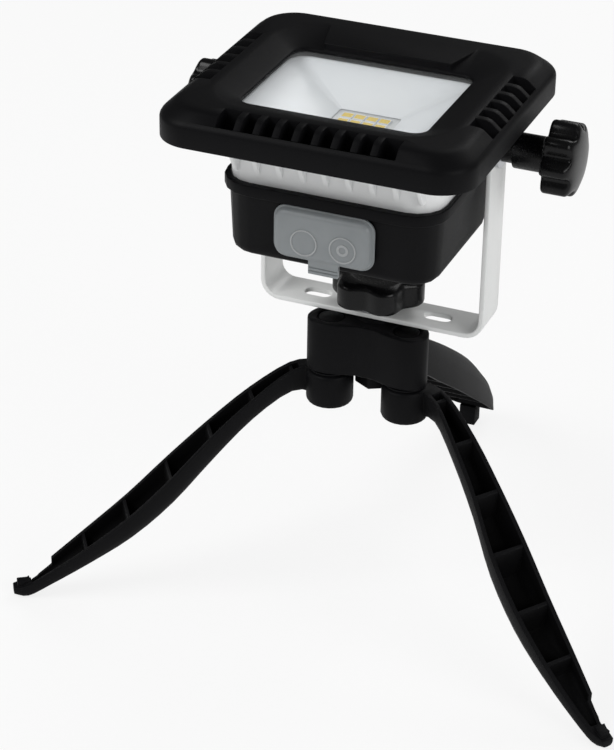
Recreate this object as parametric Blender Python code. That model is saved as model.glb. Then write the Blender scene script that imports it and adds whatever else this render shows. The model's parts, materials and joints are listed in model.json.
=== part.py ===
"""Rechargeable work light on a folding tripod: a head with a battery case, a U bracket and three legs.

The hub axis is the upright line that the bracket turns about. The legs stand on z = 0 and the origin is
on the floor, under the middle of the whole object. Metres, +Z up, the charging flap faces -Y.
"""

import math

import bmesh
import bpy
import numpy as np
from mathutils import Matrix, Vector

MM = 0.001

# Fits
GAP = 0.3 * MM
HOLE_CLEARANCE = 0.3 * MM
CUT = 2 * MM

# Front bezel
BEZEL_WIDTH = 115 * MM
BEZEL_DEPTH = 107.5 * MM
BEZEL_CORNER = 14 * MM
SKIRT_HEIGHT = 8.5 * MM
SKIRT_WALL = 2.5 * MM
BEVEL_RUN = 5 * MM
BEVEL_RISE = 4.5 * MM
CREST_WIDTH = 9 * MM
WINDOW_WIDTH = 68 * MM
WINDOW_DEPTH = 53.5 * MM
WINDOW_SHIFT = -3.5 * MM
WINDOW_CORNER = 5 * MM
WINDOW_DROP = 3 * MM
WINDOW_EDGE = 1 * MM
VENT_INSET = 1.5 * MM
VENT_RUN = 8.5 * MM
VENT_RIB = 2.6 * MM
VENT_END_GAP = 6.4 * MM
FRONT_VENT_LENGTH = 64.5 * MM
FRONT_VENT_RIBS = 8
SIDE_VENT_LENGTH = 46 * MM
SIDE_VENT_RIBS = 5
VENT_FLOOR = 1.6 * MM
VENT_FLOOR_LIFT = 0.6 * MM
SHELF_NEAR_WIDTH = 48 * MM
SHELF_FAR_WIDTH = 58 * MM
SHELF_SETBACK = 0.6 * MM
SHELF_DROP = 0.3 * MM

# Glass, seal and reflector
GLASS_THICKNESS = 2 * MM
GLASS_OVERLAP = 4.3 * MM
GASKET_THICKNESS = 0.9 * MM
GASKET_WIDTH = 2 * MM
REFLECTOR_WALL = 1 * MM
REFLECTOR_RIM = 1 * MM
LED_OPENING_WIDTH = 23 * MM
LED_OPENING_DEPTH = 20 * MM
LED_BOARD_WIDTH = 42 * MM
LED_BOARD_DEPTH = 24 * MM
LED_BOARD_THICKNESS = 1.6 * MM
LED_COLUMNS = 4
LED_ROWS = 3
LED_PITCH_X = 4.65 * MM
LED_PITCH_Y = 5.2 * MM
LED_LENGTH = 3.5 * MM
LED_WIDTH = 2.8 * MM
LED_HEIGHT = 0.8 * MM

# Heat sink housing, measured from the middle of the bezel
HOUSING_WIDTH = 79.4 * MM
HOUSING_FRONT = 30.5 * MM
HOUSING_CORNER = 11 * MM
HOUSING_HEIGHT = 21.4 * MM
HOUSING_WALL = 3 * MM
FLANGE_THICKNESS = 3 * MM
FLANGE_INSET = 14.5 * MM
FLANGE_BACK_MARGIN = 4.05 * MM
FLANGE_CORNER = 8 * MM
LED_PAD_DROP = 6.8 * MM
LED_SLAB = 5.6 * MM
LED_POCKET_MARGIN = 1 * MM
FIN_COUNT = 9
FIN_PITCH = 8.6 * MM
FIN_THICKNESS = 1.6 * MM
FIN_EDGE_INSET = 0.75 * MM
FIN_HEIGHT = 12.9 * MM

# Rear cover
COVER_WALL = 2.4 * MM
COVER_SIDE_GROWTH = 0.2 * MM
COVER_FRONT_GROWTH = 1.2 * MM
COVER_BACK_GROWTH = 0.8 * MM
COVER_TAPER = 1 * MM
COVER_EDGE_ROUND = 3 * MM
LIP_HEIGHT = 4.5 * MM
LIP_GROWTH = 1.9 * MM
LIP_FRONT_STEP = 2.2 * MM
LIP_OVERLAP = 0.7 * MM
REAR_GASKET_THICKNESS = 1 * MM

# Battery and boards
CELL_DIAMETER = 18.4 * MM
CELL_LENGTH = 65 * MM
CELL_GAP = 0.8 * MM
CELL_HEADROOM = 1.9 * MM
CRADLE_WALL = 1.5 * MM
CELL_EDGE = 0.6 * MM
CRADLE_HEIGHT = 8 * MM
CRADLE_WRAP_SHARE = 1 / 3
BOARD_THICKNESS = 1.6 * MM
BOARD_WIDTH = 50 * MM
BOARD_OVER_CELLS = 1.6 * MM
BOARD_SETBACK = 12.7 * MM
JACK_X = -8.4 * MM
SWITCH_X = 6.9 * MM
PORT_HEIGHT = 10.5 * MM
JACK_NOSE_DIAMETER = 8 * MM
JACK_BORE_DIAMETER = 5.5 * MM
JACK_PIN_DIAMETER = 2 * MM
JACK_BODY = 9.6 * MM
SWITCH_BODY = 7 * MM
SWITCH_DEPTH = 3.6 * MM
BUTTON_DIAMETER = 6 * MM
BUTTON_STEM_DIAMETER = 4 * MM
BUTTON_TRAVEL = 1.2 * MM
BUTTON_STEM_SEAT = 0.9 * MM
LEAD_DIAMETER = 1.4 * MM
LEAD_SPACING = 12 * MM
LEAD_SOLDER = 3 * MM

# Port cover
FLAP_WIDTH = 37.6 * MM
FLAP_HEIGHT = 19.9 * MM
FLAP_THICKNESS = 3.5 * MM
FLAP_CORNER = 5 * MM
FLAP_BASE = 4 * MM
FLAP_BEVEL = 1.2 * MM
FLAP_HINGE_SETBACK = 1 * MM
FLAP_HINGE_RISE = 1.3 * MM
TAB_WIDTH = 11.2 * MM
TAB_DROP = 4 * MM
TAB_CENTRE = 0.7 * MM
DIMPLE_RADIUS = 5 * MM
DIMPLE_RAISE = 0.5 * MM

# U bracket and tilt hardware
BRACKET_WIDTH = 88.4 * MM
BRACKET_STRIP = 17 * MM
BRACKET_THICKNESS = 2 * MM
BRACKET_BEND = 7.5 * MM
BRACKET_RISE = 74.6 * MM
SLOT_LENGTH = 10.5 * MM
SLOT_WIDTH = 5.5 * MM
SLOT_CENTRE = 24 * MM
STUD_DIAMETER = 5.8 * MM
INSERT_DIAMETER = 8.4 * MM
INSERT_LENGTH = 9 * MM
PIVOT_BOSS_DIAMETER = 13 * MM
FRICTION_WASHER_DIAMETER = 14 * MM
TILT_WASHER_DIAMETER = 15 * MM
TILT_WASHER_THICKNESS = 1.2 * MM
KNOB_COLLAR_DIAMETER = 10 * MM
KNOB_COLLAR_LENGTH = 4.3 * MM
KNOB_STEM_DIAMETER = 13 * MM
KNOB_STEM_LENGTH = 12.3 * MM
KNOB_HEAD_DIAMETER = 27.8 * MM
KNOB_HEAD_LENGTH = 12 * MM
KNOB_LOBES = 8
KNOB_SCALLOP = 3 * MM
KNOB_EDGE = 1 * MM
TILT_SETBACK = 23.2 * MM
TILT_BELOW_SKIRT = 14.7 * MM

# Clamp knob and hub
CLAMP_DIAMETER = 36 * MM
CLAMP_HEIGHT = 12.8 * MM
CLAMP_FOOT_DIAMETER = 20 * MM
CLAMP_FOOT_HEIGHT = 2.3 * MM
CLAMP_LOBES = 6
CLAMP_SCALLOP = 3 * MM
CLAMP_EDGE = 1.2 * MM
CLAMP_CROWN = 4 * MM
CLAMP_ROOF = 3 * MM
CLAMP_WASHER_DIAMETER = 18 * MM
CLAMP_WASHER_THICKNESS = 1 * MM
BOLT_DIAMETER = 6 * MM
BOLT_HEAD_CIRCUMRADIUS = 5.6 * MM
BOLT_HEAD_HEIGHT = 4 * MM
HUB_HEIGHT = 21 * MM
HUB_COLLAR_DIAMETER = 18 * MM
HUB_COLLAR_HEIGHT = 1.4 * MM
HUB_POST_CIRCUMRADIUS = 8 * MM
HUB_POST_DROP = 8 * MM
HUB_WEB_RADIUS = 13.75 * MM
HUB_SWELL = 1.6
BOSS_CIRCLE = 17.5 * MM
BOSS_RADIUS = 9 * MM
PIN_DIAMETER = 6 * MM
PIN_HEAD_DIAMETER = 10 * MM
PIN_HEAD_HEIGHT = 3.3 * MM
PIN_EDGE = 0.5 * MM
PIN_FLOOR = 2.5 * MM
COUNTERBORE_DEPTH = 4 * MM
LEG_WASHER_THICKNESS = 0.6 * MM
LEG_WASHER_INSET = 1 * MM

# Legs
LEG_REACH = 123 * MM
KNUCKLE_TOP = 93 * MM
KNUCKLE_HEIGHT = 13.8 * MM
LEG_WALL = 1.8 * MM
LEG_RIB = 1.2 * MM
LEG_RIB_RECESS = 0.8 * MM
LEG_RIB_SHARES = (0.11, 0.235, 0.368, 0.5, 0.636, 0.77)
LEG_STATIONS = 24
LEG_SECTION_POINTS = 9
LEG_WALL_POWER = 0.55
LEG_BACK_POWER = 0.7
LEG_SOLID_TIP = 7 * MM
NOTCH_START = 0.874
NOTCH_DEPTH = 3 * MM
NOTCH_STEPS = 4
KNUCKLE_EDGE = 1.6 * MM
BARB_LENGTH = 5 * MM
BARB_HEIGHT = 2.6 * MM
BARB_INSET = 0.6 * MM
BARB_SETBACK = 1.5 * MM
FOOT_WIDTH = 7 * MM
FOOT_LENGTH = 7 * MM
FOOT_OFFSET = 2.5 * MM
FOOT_SETBACK = 0.6 * MM
FOOT_TOP = 9 * MM
FRONT_LEG_YAW = 4.5
LEFT_LEG_BEARING = 210
RIGHT_LEG_BEARING = 330
REAR_LEG_BEARING = 90

# Screws
SCREW_DIAMETER = 3 * MM
SCREW_HEAD_DIAMETER = 5.6 * MM
SCREW_HEAD_HEIGHT = 2.4 * MM
SCREW_POST_RADIUS = 4.6 * MM
RECESS_DEPTH_SHARE = 0.5
RECESS_REACH_SHARE = 0.3
RECESS_WIDTH_SHARE = 0.08
BEZEL_BOSS_RADIUS = 3.6 * MM
BEZEL_SCREW_INSET = 4.5 * MM
SCREW_BITE = 6 * MM
REAR_SCREW_X = 18 * MM
LED_SCREW_X = 18.3 * MM
COVER_SCREW_INSET = 7.2 * MM
REAR_SCREW_INSET = 6.4 * MM
LED_SCREW_DIAMETER = 2.2 * MM
LED_SCREW_HEAD_DIAMETER = 4 * MM
LED_SCREW_HEAD_HEIGHT = 1.4 * MM

# Outer end of the star knob: share of its length, of its radius and of its scallop
KNOB_DOME = ((0.65, 1, 1), (0.82, 0.9, 0.5), (0.94, 0.68, 0), (1, 0.3, 0))

# Leg outlines: share of the reach, share of the way down to the floor, depth of the channel,
# and where its two walls stand beside the line through the pin. Depths and walls in millimetres.
FRONT_LEG = (
    (0.03, 0.003, 12.6, -0.5, -8.6),
    (0.11, 0.023, 10.2, -3.0, -10.6),
    (0.235, 0.132, 10.0, -1.2, -12.0),
    (0.365, 0.275, 12.5, 0.6, -12.6),
    (0.495, 0.433, 14.0, 3.8, -13.0),
    (0.626, 0.596, 12.4, 4.2, -12.7),
    (0.764, 0.743, 9.4, 2.8, -11.8),
    (0.886, 0.868, 7.0, 0.0, -10.6),
    (0.955, 0.938, 5.65, -2.6, -9.6),
    (1.0, 0.955, 3.0, -4.0, -8.8),
)
REAR_LEG = (
    (0.03, 0.155, -13.6, 5.0, -5.0),
    (0.16, 0.235, -16.0, 6.8, -6.8),
    (0.272, 0.343, -18.6, 8.8, -8.8),
    (0.427, 0.488, -19.4, 10.6, -10.6),
    (0.594, 0.648, -19.4, 11.2, -11.2),
    (0.744, 0.789, -16.4, 10.8, -10.8),
    (0.833, 0.874, -12.4, 9.8, -9.8),
    (0.894, 0.930, -6.6, 7.8, -7.8),
    (0.914, 0.942, -3.4, 6.2, -6.2),
)

# Points on curves
CORNER_STEPS = 4
ROUND_POINTS = 24
HEAD_POINTS = 16
HOLE_POINTS = 12
LEAD_POINTS = 8
CELL_POINTS = 32
KNOB_POINTS = 48
CLAMP_POINTS = 60
HUB_POINTS = 72
ARM_END_POINTS = 17
BEND_POINTS = 7
COVER_EDGE_STEPS = 3
STATION_SPLITS = 3
RIM_STEPS = 2
SMOOTH_ANGLE = 35

# Directions for bars
AXIS_TURN = {
    "X": Matrix.Rotation(math.radians(90), 4, "Y"),
    "Y": Matrix.Rotation(math.radians(-90), 4, "X"),
    "Z": Matrix.Identity(4),
}

# Distances back through the battery case, from the middle of the bezel
COVER_FRONT = HOUSING_FRONT + COVER_FRONT_GROWTH
PORT_WALL_INSIDE = -COVER_FRONT + COVER_WALL + COVER_TAPER
BOARD_FACE = PORT_WALL_INSIDE + BOARD_SETBACK
CELL_MIDDLE = BOARD_FACE + BOARD_THICKNESS + GAP + CELL_DIAMETER + CELL_GAP / 2
CELL_SPACING = CELL_DIAMETER + CELL_GAP
CELLS_BACK = CELL_MIDDLE + CELL_GAP / 2 + CELL_DIAMETER
HOUSING_BACK = CELLS_BACK + GAP + SCREW_POST_RADIUS + REAR_SCREW_INSET
COVER_BACK = HOUSING_BACK + COVER_BACK_GROWTH
COVER_HEIGHT = COVER_WALL + CRADLE_WALL + 2 * GAP + CELL_DIAMETER + CELL_HEADROOM
BOARD_HEIGHT = CELL_DIAMETER + BOARD_OVER_CELLS

# Heights worked up from the floor
LEG_WASHER_BOTTOM = KNUCKLE_TOP + GAP
HUB_BOTTOM = LEG_WASHER_BOTTOM + LEG_WASHER_THICKNESS + GAP
HUB_TOP = HUB_BOTTOM + HUB_HEIGHT
BRACKET_BOTTOM = HUB_TOP + HUB_COLLAR_HEIGHT + GAP
STRIP_TOP = BRACKET_BOTTOM + BRACKET_THICKNESS
CLAMP_WASHER_BOTTOM = STRIP_TOP + GAP
CLAMP_BOTTOM = CLAMP_WASHER_BOTTOM + CLAMP_WASHER_THICKNESS + GAP
TILT_HEIGHT = BRACKET_BOTTOM + BRACKET_RISE

# Heights in the head, from the tilt axis
SKIRT_BOTTOM = TILT_BELOW_SKIRT
RIM = SKIRT_BOTTOM + SKIRT_HEIGHT
CREST = RIM + BEVEL_RISE
WINDOW_TOP = CREST - WINDOW_DROP
GLASS_SEAT = WINDOW_TOP - WINDOW_EDGE
GLASS_TOP = GLASS_SEAT - GAP
GLASS_BOTTOM = GLASS_TOP - GLASS_THICKNESS
GASKET_TOP = GLASS_BOTTOM - GAP
GASKET_BOTTOM = GASKET_TOP - GASKET_THICKNESS
SEAL_RIM_TOP = GASKET_BOTTOM - GAP
FLANGE_TOP = SKIRT_BOTTOM - GAP
FLANGE_BOTTOM = FLANGE_TOP - FLANGE_THICKNESS
HOUSING_BOTTOM = FLANGE_TOP - HOUSING_HEIGHT
LED_PAD_TOP = FLANGE_TOP - LED_PAD_DROP
LED_BOARD_BOTTOM = LED_PAD_TOP + GAP
LED_BOARD_TOP = LED_BOARD_BOTTOM + LED_BOARD_THICKNESS
SLAB_BOTTOM = LED_PAD_TOP - LED_SLAB
REFLECTOR_BOTTOM = LED_BOARD_TOP + GAP
REFLECTOR_TOP = GLASS_BOTTOM - GAP
REAR_GASKET_TOP = HOUSING_BOTTOM - GAP
COVER_TOP = REAR_GASKET_TOP - REAR_GASKET_THICKNESS - GAP
COVER_BOTTOM = COVER_TOP - COVER_HEIGHT
LIP_BOTTOM = COVER_TOP - LIP_OVERLAP
LIP_TOP = LIP_BOTTOM + LIP_HEIGHT
COVER_FLOOR_TOP = COVER_BOTTOM + COVER_WALL
PORT_Z = COVER_BOTTOM + PORT_HEIGHT

# Distances in the head, from the middle of the bezel
HOUSING_HALF = HOUSING_WIDTH / 2
COVER_HALF = HOUSING_HALF + COVER_SIDE_GROWTH
LIP_HALF = HOUSING_HALF + LIP_GROWTH
LIP_FRONT = COVER_FRONT + LIP_FRONT_STEP
FLANGE_HALF_X = BEZEL_WIDTH / 2 - FLANGE_INSET
FLANGE_FRONT = BEZEL_DEPTH / 2 - FLANGE_INSET
FLANGE_BACK = HOUSING_BACK + FLANGE_BACK_MARGIN

PARTS = "work_light"
CUTTERS = "cutters"


def clear_scene():
    for obj in list(bpy.data.objects):
        bpy.data.objects.remove(obj, do_unlink=True)
    for name in (PARTS, CUTTERS):
        bpy.context.scene.collection.children.link(bpy.data.collections.new(name))


def finish(name, colour, roughness, metallic=0.0):
    """A Principled material with one colour."""
    material = bpy.data.materials.new(name)
    material.use_nodes = True
    shader = material.node_tree.nodes["Principled BSDF"]
    shader.inputs["Base Color"].default_value = (*colour, 1)
    shader.inputs["Roughness"].default_value = roughness
    shader.inputs["Metallic"].default_value = metallic
    return material


def empty(name, location, parent=None):
    marker = bpy.data.objects.new(name, None)
    bpy.data.collections[PARTS].objects.link(marker)
    marker.parent = parent
    marker.location = location
    return marker


def mesh_from(bm, name):
    bmesh.ops.recalc_face_normals(bm, faces=bm.faces)
    mesh = bpy.data.meshes.new(name)
    bm.to_mesh(mesh)
    bm.free()
    return mesh


def part(name, mesh, material, parent, location=(0, 0, 0)):
    """A named sub-part, smooth where its faces meet at a small angle."""
    obj = bpy.data.objects.new(name, mesh)
    bpy.data.collections[PARTS].objects.link(obj)
    mesh.materials.append(material)
    mesh.shade_smooth()
    mesh.set_sharp_from_angle(angle=math.radians(SMOOTH_ANGLE))
    obj.parent = parent
    obj.location = location
    return obj


def boolean(target, mesh, operation, location=(0, 0, 0)):
    """Cuts or joins a helper, which is kept in the target's own frame."""
    helper = bpy.data.objects.new(f"{target.name}_{operation.lower()}", mesh)
    bpy.data.collections[CUTTERS].objects.link(helper)
    helper.parent = target
    helper.location = location
    helper.hide_render = True
    helper.display_type = "WIRE"
    modifier = target.modifiers.new(operation.title(), "BOOLEAN")
    modifier.operation = operation
    modifier.object = helper
    modifier.solver = "EXACT"


def cut(target, mesh, location=(0, 0, 0)):
    boolean(target, mesh, "DIFFERENCE", location)


def join(target, mesh, location=(0, 0, 0)):
    boolean(target, mesh, "UNION", location)


def box(low, high):
    """A block between two corners."""
    low = Vector(low)
    high = Vector(high)
    bm = bmesh.new()
    place = Matrix.Translation((low + high) / 2) @ Matrix.Diagonal((*(high - low), 1))
    bmesh.ops.create_cube(bm, size=1, matrix=place)
    return mesh_from(bm, "box")


def rod(radius, start, end, axis="Z", segments=ROUND_POINTS, at=(0, 0, 0), edge=0):
    """A round bar along an axis between two distances, with its rim rounded by edge."""
    bm = bmesh.new()
    turn = AXIS_TURN[axis]
    place = Matrix.Translation(at) @ turn @ Matrix.Translation((0, 0, (start + end) / 2))
    bmesh.ops.create_cone(
        bm, cap_ends=True, segments=segments, radius1=radius, radius2=radius, depth=end - start, matrix=place
    )
    if edge:
        rims = [e for e in bm.edges if any(len(f.verts) > 4 for f in e.link_faces)]
        bmesh.ops.bevel(bm, geom=rims, offset=edge, segments=RIM_STEPS, profile=0.5, affect="EDGES")
    return mesh_from(bm, "rod")


def bore(target, diameter, low, high, x, y):
    """An upright clearance hole for a bar of this diameter."""
    cut(target, rod(diameter / 2 + HOLE_CLEARANCE, low, high, segments=HOLE_POINTS, at=(x, y, 0)))


def ring(outer, inner, start, end, axis="Z"):
    """A washer: a turned tube between two distances along an axis."""
    turn = AXIS_TURN[axis]
    sections = []
    for radius, height in ((outer, end), (outer, start), (inner, start), (inner, end)):
        sections.append([turn @ p for p in polar(lambda angle: radius, height, ROUND_POINTS)])
    return loft(sections, closed=True)


def polar(radius_at, height, segments):
    """Points round the Z axis at a height, with a radius that depends on the angle."""
    points = []
    for step in range(segments):
        angle = 2 * math.pi * step / segments
        radius = radius_at(angle)
        points.append(Vector((radius * math.cos(angle), radius * math.sin(angle), height)))
    return points


def loft(sections, closed=False, triangles=False):
    """A skin over sections of equal point count: capped at both ends, or closed on itself."""
    bm = bmesh.new()
    loops = [[bm.verts.new(p) for p in section] for section in sections]
    count = len(loops[0])
    pairs = list(zip(loops, loops[1:]))
    if closed:
        pairs.append((loops[-1], loops[0]))
    else:
        bm.faces.new(loops[0])
        bm.faces.new(loops[-1])
    for first, second in pairs:
        for k in range(count):
            n = (k + 1) % count
            bm.faces.new((first[k], first[n], second[n], second[k]))
    if triangles:
        bmesh.ops.triangulate(bm, faces=bm.faces)
    return mesh_from(bm, "loft")


def rounded_rectangle(left, right, front, back, radius, z):
    """Points round a rectangle with round corners, from x = left to right and y = front to back."""
    points = []
    corners = ((right, back, 0), (left, back, 90), (left, front, 180), (right, front, 270))
    for x, y, start in corners:
        inward_x = -1 if x == right else 1
        inward_y = -1 if y == back else 1
        for step in range(CORNER_STEPS + 1):
            angle = math.radians(start + 90 * step / CORNER_STEPS)
            points.append(
                Vector(
                    (
                        x + inward_x * radius + radius * math.cos(angle),
                        y + inward_y * radius + radius * math.sin(angle),
                        z,
                    )
                )
            )
    return points


def frame_loop(half_x, half_y, radius, z):
    """A rounded rectangle about the middle of the bezel."""
    return rounded_rectangle(-half_x, half_x, -half_y, half_y, radius, z)


def window_loop(grow, radius, z):
    """The window's outline, which sits forward of the bezel's middle, moved out by an amount."""
    half_x = WINDOW_WIDTH / 2 + grow
    half_y = WINDOW_DEPTH / 2 + grow
    return rounded_rectangle(-half_x, half_x, WINDOW_SHIFT - half_y, WINDOW_SHIFT + half_y, radius, z)


def housing_loop(grow_side, grow_front, grow_back, z):
    """The housing's outline, moved out by an amount on its sides, front and back."""
    half = HOUSING_HALF + grow_side
    corner = HOUSING_CORNER + min(grow_side, grow_front)
    return rounded_rectangle(-half, half, -HOUSING_FRONT - grow_front, HOUSING_BACK + grow_back, corner, z)


def extrude_outline(points, direction):
    """A flat outline pushed along a direction into a plate."""
    return loft([points, [p + Vector(direction) for p in points]])


def front_bezel(head, black):
    """Sloped frame with blind vents on three sides and a flat shelf on the far side of the window."""
    bx = BEZEL_WIDTH / 2
    by = BEZEL_DEPTH / 2
    crest_in = BEVEL_RUN + CREST_WIDTH
    pocket = GLASS_OVERLAP + GAP
    wall = SKIRT_WALL
    loops = [
        frame_loop(bx, by, BEZEL_CORNER, SKIRT_BOTTOM),
        frame_loop(bx, by, BEZEL_CORNER, RIM),
        frame_loop(bx - BEVEL_RUN, by - BEVEL_RUN, BEZEL_CORNER - BEVEL_RUN / 2, CREST),
        frame_loop(bx - crest_in, by - crest_in, BEZEL_CORNER - BEVEL_RUN, CREST),
        window_loop(0, WINDOW_CORNER, WINDOW_TOP),
        window_loop(0, WINDOW_CORNER, GLASS_SEAT),
        window_loop(pocket, WINDOW_CORNER + pocket, GLASS_SEAT),
        window_loop(pocket, WINDOW_CORNER + pocket, SKIRT_BOTTOM),
        window_loop(pocket + wall, WINDOW_CORNER + pocket + wall, SKIRT_BOTTOM),
        window_loop(pocket + wall, WINDOW_CORNER + pocket + wall, RIM),
        frame_loop(bx - wall, by - wall, BEZEL_CORNER - wall, RIM),
        frame_loop(bx - wall, by - wall, BEZEL_CORNER - wall, SKIRT_BOTTOM),
    ]
    bezel = part("front_bezel", loft(loops, closed=True), black, head)
    low = SKIRT_BOTTOM + VENT_FLOOR_LIFT
    high = low + VENT_FLOOR
    into = wall / 2
    floor = [
        frame_loop(bx - into, by - into, BEZEL_CORNER - into, low),
        frame_loop(bx - into, by - into, BEZEL_CORNER - into, high),
        window_loop(pocket + into, WINDOW_CORNER + pocket + into, high),
        window_loop(pocket + into, WINDOW_CORNER + pocket + into, low),
    ]
    join(bezel, loft(floor, closed=True))
    for x, y in bezel_screw_places():
        join(bezel, rod(BEZEL_BOSS_RADIUS, SKIRT_BOTTOM, RIM + CUT / 2, at=(x, y, 0)))
        bore(bezel, SCREW_DIAMETER, SKIRT_BOTTOM - CUT, RIM, x, y)
    low = RIM - GAP
    high = CREST + CUT
    for start, end in vent_gaps(FRONT_VENT_LENGTH, FRONT_VENT_RIBS):
        cut(bezel, box((start, -by + VENT_INSET, low), (end, -by + VENT_INSET + VENT_RUN, high)))
    for start, end in vent_gaps(SIDE_VENT_LENGTH, SIDE_VENT_RIBS):
        cut(bezel, box((bx - VENT_INSET - VENT_RUN, start, low), (bx - VENT_INSET, end, high)))
        cut(bezel, box((-bx + VENT_INSET, start, low), (-bx + VENT_INSET + VENT_RUN, end, high)))
    near = WINDOW_SHIFT + WINDOW_DEPTH / 2 + SHELF_SETBACK
    far = by - crest_in + CUT
    shelf = [
        Vector((-SHELF_NEAR_WIDTH / 2, near, CREST - SHELF_DROP)),
        Vector((SHELF_NEAR_WIDTH / 2, near, CREST - SHELF_DROP)),
        Vector((SHELF_FAR_WIDTH / 2, far, CREST - SHELF_DROP)),
        Vector((-SHELF_FAR_WIDTH / 2, far, CREST - SHELF_DROP)),
    ]
    depth = WINDOW_DROP - SHELF_DROP + WINDOW_EDGE / 4
    join(bezel, extrude_outline(shelf, (0, 0, -depth)))


def vent_gaps(length, ribs):
    """Start and end of each gap between ribs, with wider gaps at both ends."""
    inner = (length - 2 * VENT_END_GAP - ribs * VENT_RIB) / (ribs - 1)
    start = -length / 2
    gaps = []
    for index in range(ribs + 1):
        width = VENT_END_GAP if index in (0, ribs) else inner
        gaps.append((start, start + width))
        start += width + VENT_RIB
    return gaps


def bezel_screw_places():
    x = FLANGE_HALF_X - BEZEL_SCREW_INSET
    front_y = -FLANGE_FRONT + BEZEL_SCREW_INSET
    back_y = FLANGE_BACK - BEZEL_SCREW_INSET
    return ((-x, front_y), (x, front_y), (x, back_y), (-x, back_y))


def cover_screw_places():
    front_x = HOUSING_HALF - COVER_SCREW_INSET
    front_y = -HOUSING_FRONT + COVER_SCREW_INSET
    back_y = HOUSING_BACK - REAR_SCREW_INSET
    return ((-front_x, front_y), (front_x, front_y), (REAR_SCREW_X, back_y), (-REAR_SCREW_X, back_y))


def glass_and_seal(head, glass, rubber):
    corner = WINDOW_CORNER + GLASS_OVERLAP
    pane = [window_loop(GLASS_OVERLAP, corner, z) for z in (GLASS_BOTTOM, GLASS_TOP)]
    part("glass_lens", loft(pane), glass, head)
    inner = GLASS_OVERLAP - GASKET_WIDTH
    loops = [
        window_loop(GLASS_OVERLAP, corner, GASKET_BOTTOM),
        window_loop(GLASS_OVERLAP, corner, GASKET_TOP),
        window_loop(inner, corner - GASKET_WIDTH, GASKET_TOP),
        window_loop(inner, corner - GASKET_WIDTH, GASKET_BOTTOM),
    ]
    part("lens_gasket", loft(loops, closed=True), rubber, head)


def reflector(head, white):
    """Four-sided funnel from the window down to the opening round the light-emitting diodes."""
    wall = REFLECTOR_WALL
    rim = REFLECTOR_RIM
    half_x = LED_OPENING_WIDTH / 2
    half_y = LED_OPENING_DEPTH / 2
    loops = [
        frame_loop(half_x, half_y, wall, REFLECTOR_BOTTOM),
        window_loop(rim, WINDOW_CORNER + rim, REFLECTOR_TOP),
        window_loop(rim + wall, WINDOW_CORNER + rim + wall, REFLECTOR_TOP),
        frame_loop(half_x + wall, half_y + wall, wall, REFLECTOR_BOTTOM),
    ]
    part("reflector", loft(loops, closed=True), white, head)


def led_board(head, board_white, steel):
    half_x = LED_BOARD_WIDTH / 2
    half_y = LED_BOARD_DEPTH / 2
    plate = box((-half_x, -half_y, LED_BOARD_BOTTOM), (half_x, half_y, LED_BOARD_TOP))
    board = part("led_board", plate, board_white, head)
    for column in range(LED_COLUMNS):
        for row in range(LED_ROWS):
            x = (column - (LED_COLUMNS - 1) / 2) * LED_PITCH_X
            y = (row - (LED_ROWS - 1) / 2) * LED_PITCH_Y
            low = (x - LED_LENGTH / 2, y - LED_WIDTH / 2, LED_BOARD_TOP - LED_BOARD_THICKNESS / 2)
            high = (x + LED_LENGTH / 2, y + LED_WIDTH / 2, LED_BOARD_TOP + LED_HEIGHT)
            join(board, box(low, high))
    for number, x in enumerate((-LED_SCREW_X, LED_SCREW_X), 1):
        bore(board, LED_SCREW_DIAMETER, LED_BOARD_BOTTOM - CUT, LED_BOARD_TOP + CUT, x, 0)
        seat = (x, 0, LED_BOARD_TOP + GAP)
        bite = LED_BOARD_THICKNESS + LED_SLAB - CUT
        head_size = (LED_SCREW_HEAD_DIAMETER, LED_SCREW_HEAD_HEIGHT)
        screw(f"led_board_screw_{number}", head, steel, seat, LED_SCREW_DIAMETER, head_size, bite, 1)


def screw(name, parent, steel, seat, diameter, head_size, length, sign):
    """A screw whose head rests on its seat, above it for sign 1 and below it for -1, with a cross recess."""
    head_diameter, head_height = head_size
    shank_overlap = head_height / 2
    low, high = sorted((0, sign * head_height))
    body = part(name, rod(head_diameter / 2, low, high, segments=HEAD_POINTS), steel, parent, seat)
    low, high = sorted((sign * shank_overlap, -sign * length))
    join(body, rod(diameter / 2, low, high, segments=HOLE_POINTS))
    deep = sign * head_height * RECESS_DEPTH_SHARE
    top = sign * (head_height + CUT)
    low, high = sorted((deep, top))
    arm = head_diameter * RECESS_REACH_SHARE
    width = head_diameter * RECESS_WIDTH_SHARE
    cut(body, box((-arm, -width, low), (arm, width, high)))
    cut(body, box((-width, -arm, low), (width, arm, high)))


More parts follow.
